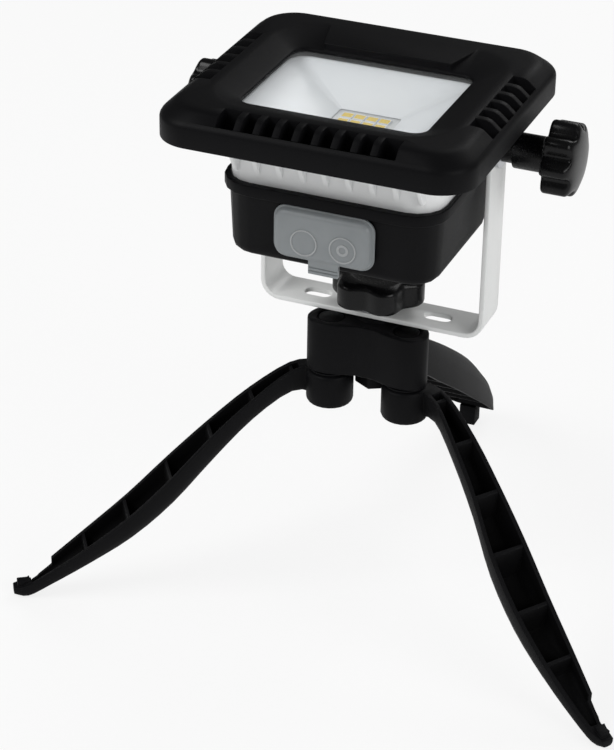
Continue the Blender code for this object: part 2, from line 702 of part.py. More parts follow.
def heat_sink(head, cast):
    """Die-cast tray: flange under the bezel, seal rim, pad for the diodes and fins on front and back."""
    tub = [housing_loop(0, 0, 0, z) for z in (HOUSING_BOTTOM, FLANGE_TOP)]
    sink = part("heat_sink", loft(tub), cast, head)
    edges = (-FLANGE_HALF_X, FLANGE_HALF_X, -FLANGE_FRONT, FLANGE_BACK)
    flange = [rounded_rectangle(*edges, FLANGE_CORNER, z) for z in (FLANGE_BOTTOM, FLANGE_TOP)]
    join(sink, loft(flange))
    corner = WINDOW_CORNER + GLASS_OVERLAP
    seal = [window_loop(GLASS_OVERLAP, corner, z) for z in (FLANGE_BOTTOM + CUT / 2, SEAL_RIM_TOP)]
    join(sink, loft(seal))
    for index in range(FIN_COUNT):
        x = (index - (FIN_COUNT - 1) / 2) * FIN_PITCH
        join(sink, fin(x, -1))
        join(sink, fin(x, 1))
    inset = -HOUSING_WALL
    cavity = [housing_loop(inset, inset, inset, z) for z in (HOUSING_BOTTOM - CUT, SLAB_BOTTOM)]
    cut(sink, loft(cavity))
    for sign in (-1, 1):
        inner = HOUSING_HALF - INSERT_LENGTH - HOUSING_WALL / 2
        span = sorted((sign * inner, sign * (HOUSING_HALF - HOUSING_WALL / 2)))
        join(sink, rod(PIVOT_BOSS_DIAMETER / 2, *span, axis="X", at=(0, TILT_SETBACK, 0)))
    for x, y in cover_screw_places():
        join(sink, rod(SCREW_POST_RADIUS, HOUSING_BOTTOM, SLAB_BOTTOM + CUT / 2, at=(x, y, 0)))
    for x, y in cover_screw_places():
        bore(sink, SCREW_DIAMETER, HOUSING_BOTTOM - CUT, HOUSING_BOTTOM + SCREW_BITE + GAP, x, y)
    for x, y in bezel_screw_places():
        bore(sink, SCREW_DIAMETER, FLANGE_BOTTOM - CUT, FLANGE_TOP + CUT, x, y)
    for sign in (-1, 1):
        span = sorted((sign * (HOUSING_HALF - INSERT_LENGTH), sign * (HOUSING_HALF + CUT)))
        cut(sink, rod(INSERT_DIAMETER / 2 + HOLE_CLEARANCE, *span, axis="X", at=(0, TILT_SETBACK, 0)))
    margin = LED_POCKET_MARGIN
    pocket = [
        frame_loop(LED_BOARD_WIDTH / 2 + margin, LED_BOARD_DEPTH / 2 + margin, margin, LED_PAD_TOP),
        window_loop(GLASS_OVERLAP - GASKET_WIDTH, WINDOW_CORNER, SEAL_RIM_TOP),
        window_loop(GLASS_OVERLAP - GASKET_WIDTH, WINDOW_CORNER, SEAL_RIM_TOP + CUT),
    ]
    cut(sink, loft(pocket))
    for x in (-LED_SCREW_X, LED_SCREW_X):
        bore(sink, LED_SCREW_DIAMETER, SLAB_BOTTOM - CUT, LED_PAD_TOP + CUT, x, 0)
    loose = LEAD_DIAMETER + 2 * HOLE_CLEARANCE
    for x in (-LEAD_SPACING / 2, LEAD_SPACING / 2):
        bore(sink, loose, SLAB_BOTTOM - CUT, LED_BOARD_TOP + CUT, x, lead_y())


def lead_y():
    return -LED_BOARD_DEPTH / 2 - GAP - LEAD_DIAMETER / 2


def fin(x, side):
    """A triangular gusset, broad under the flange and running out to nothing on the wall."""
    wall, flange = (HOUSING_BACK, FLANGE_BACK) if side > 0 else (HOUSING_FRONT, FLANGE_FRONT)
    root = side * (wall - HOUSING_CORNER / 2)
    tip = side * (flange - FIN_EDGE_INSET)
    edge = x - FIN_THICKNESS / 2
    outline = [
        Vector((edge, root, FLANGE_BOTTOM + CUT / 2)),
        Vector((edge, tip, FLANGE_BOTTOM + CUT / 2)),
        Vector((edge, tip, FLANGE_BOTTOM)),
        Vector((edge, side * wall, FLANGE_BOTTOM - FIN_HEIGHT)),
        Vector((edge, root, FLANGE_BOTTOM - FIN_HEIGHT)),
    ]
    return extrude_outline(outline, (FIN_THICKNESS, 0, 0))


def rear_cover(head, black):
    """Battery case: a tapered tray with a flared lip that takes the bottom of the heat sink."""
    side = COVER_HALF - HOUSING_HALF
    front = COVER_FRONT - HOUSING_FRONT
    back = COVER_BACK - HOUSING_BACK
    lip_front = LIP_FRONT - HOUSING_FRONT
    edge = COVER_EDGE_ROUND
    loops = []
    for step in range(COVER_EDGE_STEPS + 1):
        angle = math.radians(90 * step / COVER_EDGE_STEPS)
        shrink = COVER_TAPER + edge * (1 - math.sin(angle))
        z = COVER_BOTTOM + edge * (1 - math.cos(angle))
        loops.append(housing_loop(side - shrink, front - shrink, back - shrink, z))
    loops.append(housing_loop(side, front, back, LIP_BOTTOM))
    loops.append(housing_loop(LIP_GROWTH, lip_front, LIP_GROWTH, LIP_BOTTOM + GAP))
    loops.append(housing_loop(LIP_GROWTH, lip_front, LIP_GROWTH, LIP_TOP))
    loops.append(housing_loop(GAP, GAP, GAP, LIP_TOP))
    loops.append(housing_loop(GAP, GAP, GAP, COVER_TOP))
    wall = COVER_WALL
    loops.append(housing_loop(side - wall, front - wall, back - wall, COVER_TOP))
    thin = wall + COVER_TAPER
    loops.append(housing_loop(side - thin, front - thin, back - thin, COVER_FLOOR_TOP))
    cover = part("rear_cover", loft(loops), black, head)
    for x, y in cover_screw_places():
        join(cover, rod(SCREW_POST_RADIUS, COVER_FLOOR_TOP - COVER_WALL / 2, COVER_TOP, at=(x, y, 0)))
    for x, y in cover_screw_places():
        recess = SCREW_HEAD_DIAMETER / 2 + HOLE_CLEARANCE
        top = COVER_BOTTOM + SCREW_HEAD_HEIGHT + GAP
        cut(cover, rod(recess, COVER_BOTTOM - CUT, top, segments=HEAD_POINTS, at=(x, y, 0)))
        bore(cover, SCREW_DIAMETER, COVER_BOTTOM, COVER_TOP + CUT, x, y)
    for x, diameter in ((JACK_X, JACK_NOSE_DIAMETER), (SWITCH_X, BUTTON_DIAMETER)):
        radius = diameter / 2 + HOLE_CLEARANCE
        span = (-COVER_FRONT - CUT, -HOUSING_FRONT + COVER_WALL + CUT)
        cut(cover, rod(radius, *span, axis="Y", at=(x, 0, PORT_Z)))
    for sign in (-1, 1):
        span = sorted((sign * (HOUSING_HALF + GAP / 2), sign * (LIP_HALF + CUT)))
        cut(cover, rod(FRICTION_WASHER_DIAMETER / 2 + GAP, *span, axis="X", at=(0, TILT_SETBACK, 0)))


def rear_gasket(head, rubber):
    side = COVER_HALF - HOUSING_HALF - COVER_WALL + GAP
    front = COVER_FRONT - HOUSING_FRONT - COVER_WALL + GAP
    low = REAR_GASKET_TOP - REAR_GASKET_THICKNESS
    loops = [
        housing_loop(0, 0, 0, low),
        housing_loop(0, 0, 0, REAR_GASKET_TOP),
        housing_loop(side, front, front, REAR_GASKET_TOP),
        housing_loop(side, front, front, low),
    ]
    part("rear_gasket", loft(loops, closed=True), rubber, head)


def battery(head, cradle_grey, cell_blue):
    """Two round cells lying across the case in a saddle with end walls."""
    low = COVER_FLOOR_TOP + GAP
    axis_z = low + CRADLE_WALL + GAP + CELL_DIAMETER / 2
    half_length = CELL_LENGTH / 2 + GAP
    end = half_length + CRADLE_WALL
    half_depth = CELL_SPACING / 2 + CELL_DIAMETER * CRADLE_WRAP_SHARE
    block = box((-end, CELL_MIDDLE - half_depth, low), (end, CELL_MIDDLE + half_depth, low + CRADLE_HEIGHT))
    cradle = part("battery_cradle", block, cradle_grey, head)
    for name, offset in (("front", -CELL_SPACING / 2), ("rear", CELL_SPACING / 2)):
        place = (0, CELL_MIDDLE + offset, axis_z)
        radius = CELL_DIAMETER / 2
        cut(cradle, rod(radius + GAP, -half_length, half_length, axis="X", segments=CELL_POINTS, at=place))
        span = (-CELL_LENGTH / 2, CELL_LENGTH / 2)
        cell = rod(radius, *span, axis="X", segments=CELL_POINTS, edge=CELL_EDGE)
        part(f"battery_cell_{name}", cell, cell_blue, head, place)


def control_board(head, board_green, black):
    """Upright circuit board behind the charging port, with the jack and the switch on its face."""
    half = BOARD_WIDTH / 2
    low = COVER_FLOOR_TOP + GAP
    plate = box((-half, BOARD_FACE, low), (half, BOARD_FACE + BOARD_THICKNESS, low + BOARD_HEIGHT))
    part("control_board", plate, board_green, head)
    seat = BOARD_FACE - GAP
    jack_front = PORT_WALL_INSIDE + GAP
    half = JACK_BODY / 2
    body = box((-half, jack_front, -half), (half, seat, half))
    jack = part("charging_jack", body, black, head, (JACK_X, 0, PORT_Z))
    nose_front = -COVER_FRONT + COVER_TAPER + GAP
    join(jack, rod(JACK_NOSE_DIAMETER / 2, nose_front, jack_front + CUT, axis="Y"))
    socket_end = seat - CUT
    cut(jack, rod(JACK_BORE_DIAMETER / 2, nose_front - CUT, socket_end, axis="Y"))
    span = (nose_front + CUT, socket_end + CUT / 2)
    join(jack, rod(JACK_PIN_DIAMETER / 2, *span, axis="Y", segments=HOLE_POINTS))
    half = SWITCH_BODY / 2
    switch_front = seat - SWITCH_DEPTH
    body = box((-half, switch_front, -half), (half, seat, half))
    switch = part("switch_body", body, black, head, (SWITCH_X, 0, PORT_Z))
    stem_end = switch_front + BUTTON_STEM_SEAT
    well_end = stem_end + BUTTON_TRAVEL + GAP
    cut(switch, rod(BUTTON_STEM_DIAMETER / 2 + HOLE_CLEARANCE, switch_front - CUT, well_end, axis="Y"))
    return nose_front, switch_front - BUTTON_TRAVEL - GAP, stem_end


def power_button(head, grey, front, shoulder, stem_end):
    slide = empty("power_button_slide", (SWITCH_X, 0, PORT_Z), head)
    button = part("power_button", rod(BUTTON_DIAMETER / 2, front, shoulder, axis="Y"), grey, slide)
    join(button, rod(BUTTON_STEM_DIAMETER / 2, shoulder - CUT, stem_end, axis="Y"))


def led_leads(head, red, black):
    """Straight tails from the control board up through the heat sink to the edge of the diode board."""
    low = COVER_FLOOR_TOP + GAP + BOARD_HEIGHT - LEAD_SOLDER
    for name, x, material in (("red", -LEAD_SPACING / 2, red), ("black", LEAD_SPACING / 2, black)):
        tail = rod(LEAD_DIAMETER / 2, low, LED_BOARD_TOP - GAP, segments=LEAD_POINTS)
        part(f"led_lead_{name}", tail, material, head, (x, lead_y(), 0))


def port_cover(head, silicone):
    """Soft flap over the jack and the switch, on a strap at its lower edge."""
    back = -COVER_FRONT - GAP
    front = back - FLAP_THICKNESS
    low = COVER_BOTTOM + FLAP_BASE
    hinge_y = back - FLAP_HINGE_SETBACK
    hinge_z = low - TAB_DROP + FLAP_HINGE_RISE
    hinge = empty("port_cover_hinge", (0, hinge_y, hinge_z), head)
    half = FLAP_WIDTH / 2
    sections = []
    for y, inset in ((back, 0), (front + FLAP_BEVEL, 0), (front, FLAP_BEVEL)):
        outline = rounded_rectangle(
            -half + inset, half - inset, low + inset, low + FLAP_HEIGHT - inset, FLAP_CORNER - inset, 0
        )
        sections.append([Vector((p.x, y - hinge_y, p.y - hinge_z)) for p in outline])
    flap = part("port_cover", loft(sections), silicone, hinge)
    tab_low = (TAB_CENTRE - TAB_WIDTH / 2, front - hinge_y, low - TAB_DROP - hinge_z)
    tab_high = (TAB_CENTRE + TAB_WIDTH / 2, back - FLAP_HINGE_SETBACK - hinge_y, low + CUT - hinge_z)
    join(flap, box(tab_low, tab_high))
    for x in (JACK_X, SWITCH_X):
        place = (x, 0, PORT_Z - hinge_z)
        span = (front - DIMPLE_RAISE - hinge_y, front + CUT / 2 - hinge_y)
        join(flap, rod(DIMPLE_RADIUS, *span, axis="Y", at=place))


def tilt_hardware(head, bracket, brass, steel, nylon, black):
    """On each side: insert in the head, friction washer, bracket arm, steel washer, stud and star knob."""
    arm_inside = BRACKET_WIDTH / 2 - BRACKET_THICKNESS
    arm_outside = BRACKET_WIDTH / 2
    hole = STUD_DIAMETER / 2 + HOLE_CLEARANCE
    knob_start = arm_outside + TILT_WASHER_THICKNESS + 2 * GAP
    stud_end = knob_start + KNOB_COLLAR_LENGTH + KNOB_STEM_LENGTH - CUT
    for name, sign in (("left", -1), ("right", 1)):
        side = empty(f"tilt_side_{name}", (0, TILT_SETBACK, 0), head)
        side.rotation_euler.z = 0 if sign > 0 else math.pi
        insert_start = HOUSING_HALF - INSERT_LENGTH + GAP
        insert = ring(INSERT_DIAMETER / 2, hole, insert_start, HOUSING_HALF, axis="X")
        part(f"pivot_insert_{name}", insert, brass, side)
        washer = ring(FRICTION_WASHER_DIAMETER / 2, hole, HOUSING_HALF + GAP, arm_inside - GAP, axis="X")
        part(f"friction_washer_{name}", washer, nylon, side)
        arm = empty(f"arm_side_{name}", (0, 0, TILT_HEIGHT), bracket)
        arm.rotation_euler.z = side.rotation_euler.z
        start = arm_outside + GAP
        outer = ring(TILT_WASHER_DIAMETER / 2, hole, start, start + TILT_WASHER_THICKNESS, axis="X")
        part(f"tilt_washer_{name}", outer, steel, arm)
        stud = rod(STUD_DIAMETER / 2, insert_start + GAP, stud_end, axis="X")
        part(f"tilt_stud_{name}", stud, steel, side)
        knob = part(f"tilt_knob_{name}", star_knob(), black, side, (knob_start, 0, 0))
        cut(knob, rod(hole, -CUT, stud_end + GAP - knob_start, axis="X"))


def lobed(radius, lobes, scallop):
    """A radius that dips by the scallop between lobes."""
    return lambda angle: radius - scallop * (0.5 - 0.5 * math.cos(lobes * angle)) ** 2


def star_knob():
    """Collar, stem and lobed head along X, with a domed outer face."""
    stem_start = KNOB_COLLAR_LENGTH
    head_start = stem_start + KNOB_STEM_LENGTH
    rim = KNOB_HEAD_DIAMETER / 2
    profile = [
        (0, KNOB_COLLAR_DIAMETER / 2, 0),
        (stem_start, KNOB_COLLAR_DIAMETER / 2, 0),
        (stem_start + GAP, KNOB_STEM_DIAMETER / 2, 0),
        (head_start, KNOB_STEM_DIAMETER / 2, 0),
        (head_start + GAP, rim - KNOB_EDGE, KNOB_SCALLOP),
        (head_start + KNOB_EDGE, rim, KNOB_SCALLOP),
    ]
    for along, out, dip in KNOB_DOME:
        profile.append((head_start + along * KNOB_HEAD_LENGTH, out * rim, dip * KNOB_SCALLOP))
    sections = []
    for x, radius, scallop in profile:
        outline = polar(lobed(radius, KNOB_LOBES, scallop), 0, KNOB_POINTS)
        sections.append([Vector((x, p.x, p.y)) for p in outline])
    return loft(sections)


def u_bracket(turn, white):
    """Steel strip bent to a U, with round arm ends, a stud hole and two fixing slots."""
    half = BRACKET_WIDTH / 2
    top = TILT_HEIGHT + BRACKET_STRIP / 2
    outer = u_path(half, BRACKET_BOTTOM, top, BRACKET_BEND)
    inner = u_path(half - BRACKET_THICKNESS, STRIP_TOP, top, BRACKET_BEND - BRACKET_THICKNESS)
    outline = [Vector((x, -BRACKET_STRIP / 2, z)) for x, z in outer + inner[::-1]]
    bracket = part("u_bracket", extrude_outline(outline, (0, BRACKET_STRIP, 0)), white, turn)
    strip = BRACKET_STRIP / 2
    arm_end = [
        Vector((-half - CUT, strip * math.cos(angle), TILT_HEIGHT + strip * math.sin(angle)))
        for angle in np.linspace(0, math.pi, ARM_END_POINTS)
    ]
    arm_end.append(Vector((-half - CUT, -strip - CUT, TILT_HEIGHT)))
    arm_end.append(Vector((-half - CUT, -strip - CUT, BRACKET_BOTTOM - CUT)))
    arm_end.append(Vector((-half - CUT, strip + CUT, BRACKET_BOTTOM - CUT)))
    arm_end.append(Vector((-half - CUT, strip + CUT, TILT_HEIGHT)))
    boolean(bracket, extrude_outline(arm_end, (2 * half + 2 * CUT, 0, 0)), "INTERSECT")
    hole = STUD_DIAMETER / 2 + HOLE_CLEARANCE
    cut(bracket, rod(hole, -half - CUT, half + CUT, axis="X", at=(0, 0, TILT_HEIGHT)))
    cut(bracket, rod(BOLT_DIAMETER / 2 + HOLE_CLEARANCE, BRACKET_BOTTOM - CUT, STRIP_TOP + CUT))
    for sign in (-1, 1):
        middle = sign * SLOT_CENTRE
        slot = [
            rounded_rectangle(
                middle - SLOT_LENGTH / 2, middle + SLOT_LENGTH / 2, -SLOT_WIDTH / 2, SLOT_WIDTH / 2,
                SLOT_WIDTH / 2 - GAP / 4, z,
            )
            for z in (BRACKET_BOTTOM - CUT, STRIP_TOP + CUT)
        ]
        cut(bracket, loft(slot))


def u_path(half, bottom, top, bend):
    """Points of a U in x and z, from the top of the left arm round to the top of the right arm."""
    points = [(-half, top)]
    for angle in np.linspace(math.pi, 1.5 * math.pi, BEND_POINTS):
        points.append((-half + bend + bend * math.cos(angle), bottom + bend + bend * math.sin(angle)))
    for angle in np.linspace(1.5 * math.pi, 2 * math.pi, BEND_POINTS):
        points.append((half - bend + bend * math.cos(angle), bottom + bend + bend * math.sin(angle)))
    points.append((half, top))
    return points


def clamp(stand, bracket, black, steel):
    """Lobed nut that pulls the bracket down on the hub, over a washer."""
    hole = BOLT_DIAMETER / 2 + HOLE_CLEARANCE
    washer = ring(
        CLAMP_WASHER_DIAMETER / 2, hole, CLAMP_WASHER_BOTTOM, CLAMP_WASHER_BOTTOM + CLAMP_WASHER_THICKNESS
    )
    part("clamp_washer", washer, steel, bracket)
    turn = empty("clamp_knob_turn", (0, 0, CLAMP_BOTTOM), stand)
    rim = CLAMP_DIAMETER / 2
    profile = (
        (CLAMP_FOOT_HEIGHT, rim - CLAMP_EDGE),
        (CLAMP_FOOT_HEIGHT + CLAMP_EDGE, rim),
        (CLAMP_HEIGHT - 2 * CLAMP_EDGE, rim),
        (CLAMP_HEIGHT - CLAMP_EDGE / 2, rim - CLAMP_EDGE),
        (CLAMP_HEIGHT, rim - CLAMP_CROWN),
    )
    sections = [polar(lobed(radius, CLAMP_LOBES, CLAMP_SCALLOP), z, CLAMP_POINTS) for z, radius in profile]
    knob = part("clamp_knob", loft(sections), black, turn)
    join(knob, rod(CLAMP_FOOT_DIAMETER / 2, 0, CLAMP_FOOT_HEIGHT + CUT))
    cut(knob, rod(hole, -CUT, CLAMP_HEIGHT - CLAMP_ROOF))
    return CLAMP_BOTTOM + CLAMP_HEIGHT - CLAMP_ROOF - GAP


def hub(stand, bolt_top, black, steel):
    """Three-lobed hub with a pinned leg under each boss and a bolt up through its middle."""
    reach = BOSS_CIRCLE + BOSS_RADIUS

    def outline(angle):
        swell = 0.5 + 0.5 * math.cos(3 * (angle - math.radians(REAR_LEG_BEARING)))
        return HUB_WEB_RADIUS + (reach - HUB_WEB_RADIUS) * swell**HUB_SWELL

    body = loft([polar(outline, z, HUB_POINTS) for z in (HUB_BOTTOM, HUB_TOP)])
    solid = part("hub", body, black, stand)
    join(solid, rod(HUB_COLLAR_DIAMETER / 2, HUB_TOP - CUT, HUB_TOP + HUB_COLLAR_HEIGHT))
    post_bottom = HUB_BOTTOM - HUB_POST_DROP
    join(solid, rod(HUB_POST_CIRCUMRADIUS, post_bottom, HUB_BOTTOM + CUT, segments=6))
    cut(solid, rod(BOLT_DIAMETER / 2 + HOLE_CLEARANCE, post_bottom - CUT, HUB_TOP + HUB_COLLAR_HEIGHT + CUT))
    pocket = post_bottom + BOLT_HEAD_HEIGHT + 2 * GAP
    cut(solid, rod(BOLT_HEAD_CIRCUMRADIUS + 2 * HOLE_CLEARANCE, post_bottom - CUT, pocket, segments=6))
    head_bottom = pocket - GAP - BOLT_HEAD_HEIGHT
    bolt = part("hub_bolt", rod(BOLT_HEAD_CIRCUMRADIUS, head_bottom, pocket - GAP, segments=6), steel, stand)
    join(bolt, rod(BOLT_DIAMETER / 2, pocket - BOLT_HEAD_HEIGHT / 2, bolt_top))
    hole = PIN_DIAMETER / 2 + HOLE_CLEARANCE
    for bearing in (LEFT_LEG_BEARING, RIGHT_LEG_BEARING, REAR_LEG_BEARING):
        place = boss_place(bearing, 0)
        cut(solid, rod(hole, HUB_BOTTOM - CUT, HUB_TOP + CUT, at=place))
        recess = PIN_HEAD_DIAMETER / 2 + HOLE_CLEARANCE
        cut(solid, rod(recess, HUB_TOP - COUNTERBORE_DEPTH, HUB_TOP + CUT, at=place))


def boss_place(bearing, z):
    angle = math.radians(bearing)
    return Vector((BOSS_CIRCLE * math.cos(angle), BOSS_CIRCLE * math.sin(angle), z))


def leg_pin_and_washer(stand, name, bearing, steel, nylon):
    seat = HUB_TOP - COUNTERBORE_DEPTH + GAP
    place = boss_place(bearing, seat)
    pin_head = rod(PIN_HEAD_DIAMETER / 2, 0, PIN_HEAD_HEIGHT, edge=PIN_EDGE)
    pin = part(f"leg_pin_{name}", pin_head, steel, stand, place)
    join(pin, rod(PIN_DIAMETER / 2, pin_end() + GAP - seat, PIN_HEAD_HEIGHT / 2))
    hole = PIN_DIAMETER / 2 + HOLE_CLEARANCE
    washer = ring(BOSS_RADIUS - LEG_WASHER_INSET, hole, 0, LEG_WASHER_THICKNESS)
    part(f"leg_washer_{name}", washer, nylon, stand, boss_place(bearing, LEG_WASHER_BOTTOM))


def pin_end():
    """Bottom of the blind bore in a leg's knuckle."""
    return KNUCKLE_TOP - KNUCKLE_HEIGHT + PIN_FLOOR


def smooth_stations(table):
    """More stations on a smooth curve through those of the table."""
    rows = np.array(table)
    padded = np.vstack((2 * rows[0] - rows[1], rows, 2 * rows[-1] - rows[-2]))
    result = []
    for index in range(1, len(padded) - 2):
        before, start, end, after = padded[index - 1 : index + 3]
        for t in np.arange(STATION_SPLITS) / STATION_SPLITS:
            result.append(
                start
                + t * (end - before) / 2
                + t**2 * (2 * before - 5 * start + 4 * end - after) / 2
                + t**3 * (3 * start - before - 3 * end + after) / 2
            )
    result.append(rows[-1])
    return np.array(result)


def station_at(stations, along):
    return np.array([np.interp(along, stations[:, 0], column) for column in stations.T])


def channel_section(station, mirror, inset, lift):
    """One section of a leg, round on its back, drawn in by the inset, its open edge moved by the lift."""
    along, down, depth, near, far = station
    side = math.copysign(1, depth)
    middle = (near + far) / 2 * MM
    half = (near - far) / 2 * MM - inset
    deep = abs(depth) * MM - inset
    outline = []
    for angle in np.linspace(0, math.pi, LEG_SECTION_POINTS):
        across = math.copysign(abs(math.cos(angle)) ** LEG_WALL_POWER, math.cos(angle)) * half
        rise = min(-(math.sin(angle) ** LEG_BACK_POWER) * deep, lift)
        if not outline or len(outline) == LEG_SECTION_POINTS - 1:
            rise = lift
        height = side * rise - KNUCKLE_TOP * down
        outline.append(Vector((along * LEG_REACH, mirror * (middle + across), height)))
    return outline


def leg(name, table, turn, mirror, black):
    """A ribbed channel that runs from the knuckle under the hub down to its foot."""
    stations = smooth_stations(table)

    def stretch(start, end, count, inset, lift):
        places = [station_at(stations, along) for along in np.linspace(start, end, count)]
        return loft([channel_section(place, mirror, inset, lift) for place in places], triangles=True)

    skin = [channel_section(station, mirror, 0, 0) for station in stations]
    shell = part(name, loft(skin, triangles=True), black, turn)
    start = (BOSS_RADIUS + LEG_WALL) / LEG_REACH
    end = stations[-1, 0] - LEG_SOLID_TIP / LEG_REACH
    cut(shell, stretch(start, end, LEG_STATIONS, LEG_WALL, CUT))
    half_rib = LEG_RIB / 2 / LEG_REACH
    for along in LEG_RIB_SHARES:
        join(shell, stretch(along - half_rib, along + half_rib, 2, LEG_WALL / 2, -LEG_RIB_RECESS))
    join(shell, rod(BOSS_RADIUS, -KNUCKLE_HEIGHT, 0, edge=KNUCKLE_EDGE))
    cut(shell, rod(PIN_DIAMETER / 2 + HOLE_CLEARANCE, pin_end() - KNUCKLE_TOP, CUT))
    return shell


def back_wall_notch(mirror):
    """Cutter that lowers the back wall of a front leg beside its foot."""
    stations = smooth_stations(FRONT_LEG)
    stop = stations[-1, 0] - (BARB_SETBACK + BARB_LENGTH) / LEG_REACH
    loops = []
    for along in np.linspace(NOTCH_START, stop, NOTCH_STEPS):
        place = station_at(stations, along)
        rim = -KNUCKLE_TOP * place[1]
        outside = place[4] * MM - CUT
        inside = place[4] * MM + LEG_WALL + GAP
        low = rim - NOTCH_DEPTH
        high = rim + CUT
        corners = ((outside, low), (inside, low), (inside, high), (outside, high))
        loops.append([Vector((along * LEG_REACH, mirror * across, height)) for across, height in corners])
    return loft(loops, triangles=True)


def legs(stand, black, steel, nylon):
    for name, bearing, yaw, mirror in (
        ("left", LEFT_LEG_BEARING, FRONT_LEG_YAW, 1),
        ("right", RIGHT_LEG_BEARING, -FRONT_LEG_YAW, -1),
    ):
        turn = empty(f"leg_{name}_turn", boss_place(bearing, KNUCKLE_TOP), stand)
        turn.rotation_euler.z = math.radians(bearing + yaw)
        shell = leg(f"leg_{name}", FRONT_LEG, turn, mirror, black)
        cut(shell, back_wall_notch(mirror))
        along, down, _, near, far = FRONT_LEG[-1]
        tip = LEG_REACH * along - BARB_SETBACK
        rim = -KNUCKLE_TOP * down
        sides = sorted((mirror * (near * MM - BARB_INSET), mirror * (far * MM + BARB_INSET)))
        join(shell, box((tip - BARB_LENGTH, sides[0], rim - LEG_WALL), (tip, sides[1], rim + BARB_HEIGHT)))
        leg_pin_and_washer(stand, name, bearing, steel, nylon)
    turn = empty("leg_rear_turn", boss_place(REAR_LEG_BEARING, KNUCKLE_TOP), stand)
    turn.rotation_euler.z = math.radians(REAR_LEG_BEARING)
    shell = leg("leg_rear", REAR_LEG, turn, 1, black)
    tip = LEG_REACH * REAR_LEG[-1][0] - FOOT_SETBACK
    half = FOOT_WIDTH / 2
    low = (tip - FOOT_LENGTH, FOOT_OFFSET - half, -KNUCKLE_TOP)
    join(shell, box(low, (tip, FOOT_OFFSET + half, FOOT_TOP - KNUCKLE_TOP)))
    leg_pin_and_washer(stand, "rear", REAR_LEG_BEARING, steel, nylon)


def middle_of_depth():
    """Distance from the hub axis to the middle of the object, front to back."""
    rear_tip = BOSS_CIRCLE + LEG_REACH * REAR_LEG[-1][0]
    bezel_front = -TILT_SETBACK - BEZEL_DEPTH / 2
    angle = math.radians(LEFT_LEG_BEARING + FRONT_LEG_YAW)
    corner_y = []
    for station in FRONT_LEG:
        for side in station[3:]:
            corner_y.append(LEG_REACH * station[0] * math.sin(angle) + side * MM * math.cos(angle))
    leg_front = boss_place(LEFT_LEG_BEARING, 0).y + min(corner_y)
    return (rear_tip + min(bezel_front, leg_front)) / 2


def main():
    clear_scene()
    black = finish("moulded_black", (0.018, 0.018, 0.02), 0.55)
    knob_black = finish("knob_black", (0.015, 0.015, 0.016), 0.4)
    white_paint = finish("white_paint", (0.82, 0.83, 0.82), 0.35)
    cast = finish("cast_aluminium_painted", (0.78, 0.79, 0.8), 0.4)
    glass = finish("window_glass", (0.9, 0.93, 0.95), 0.05)
    reflector_white = finish("reflector_white", (0.85, 0.87, 0.9), 0.3)
    rubber = finish("seal_rubber", (0.03, 0.03, 0.03), 0.8)
    silicone = finish("grey_silicone", (0.22, 0.24, 0.26), 0.5)
    steel = finish("zinc_steel", (0.6, 0.6, 0.6), 0.35, 1)
    brass = finish("brass", (0.7, 0.5, 0.25), 0.35, 1)
    nylon = finish("nylon", (0.75, 0.74, 0.7), 0.5)
    board_white = finish("diode_board", (0.8, 0.8, 0.78), 0.4)
    board_green = finish("circuit_board", (0.03, 0.16, 0.07), 0.45)
    cell_blue = finish("cell_sleeve", (0.05, 0.12, 0.35), 0.35)
    lead_red = finish("lead_red", (0.5, 0.03, 0.03), 0.5)

    stand = empty("stand", (0, -middle_of_depth(), 0))
    bracket = empty("bracket_turn", (0, 0, 0), stand)
    tilt = empty("head_tilt", (0, 0, TILT_HEIGHT), bracket)
    head = empty("head", (0, -TILT_SETBACK, 0), tilt)

    front_bezel(head, black)
    glass_and_seal(head, glass, rubber)
    reflector(head, reflector_white)
    led_board(head, board_white, steel)
    heat_sink(head, cast)
    rear_cover(head, black)
    rear_gasket(head, rubber)
    battery(head, nylon, cell_blue)
    button_places = control_board(head, board_green, knob_black)
    power_button(head, silicone, *button_places)
    led_leads(head, lead_red, rubber)
    port_cover(head, silicone)
    head_size = (SCREW_HEAD_DIAMETER, SCREW_HEAD_HEIGHT)
    for number, (x, y) in enumerate(bezel_screw_places(), 1):
        seat = (x, y, FLANGE_BOTTOM - GAP)
        bite = FLANGE_THICKNESS + SCREW_BITE
        screw(f"bezel_screw_{number}", head, steel, seat, SCREW_DIAMETER, head_size, bite, -1)
    for number, (x, y) in enumerate(cover_screw_places(), 1):
        seat = (x, y, COVER_BOTTOM + SCREW_HEAD_HEIGHT)
        bite = HOUSING_BOTTOM + SCREW_BITE - seat[2]
        screw(f"cover_screw_{number}", head, steel, seat, SCREW_DIAMETER, head_size, bite, -1)
    u_bracket(bracket, white_paint)
    tilt_hardware(head, bracket, brass, steel, nylon, knob_black)
    bolt_top = clamp(stand, bracket, knob_black, steel)
    hub(stand, bolt_top, black, steel)
    legs(stand, black, steel, nylon)
    bpy.context.view_layer.update()


main()
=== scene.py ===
# %% [markdown]
# # A rechargeable work light on a folding tripod
# The light is a square lamp head over a battery case. It tilts in a white steel bracket, and the
# bracket stands on a hub with three folding legs. The solids come from the CAD model, which fixes
# every size and every joint. This lesson gives them their looks: soft edges, finer pieces, and
# materials made of nodes.

# %% Load the frame
import json
import math

import bpy
from mathutils import Matrix, Vector
from mathutils.bvhtree import BVHTree


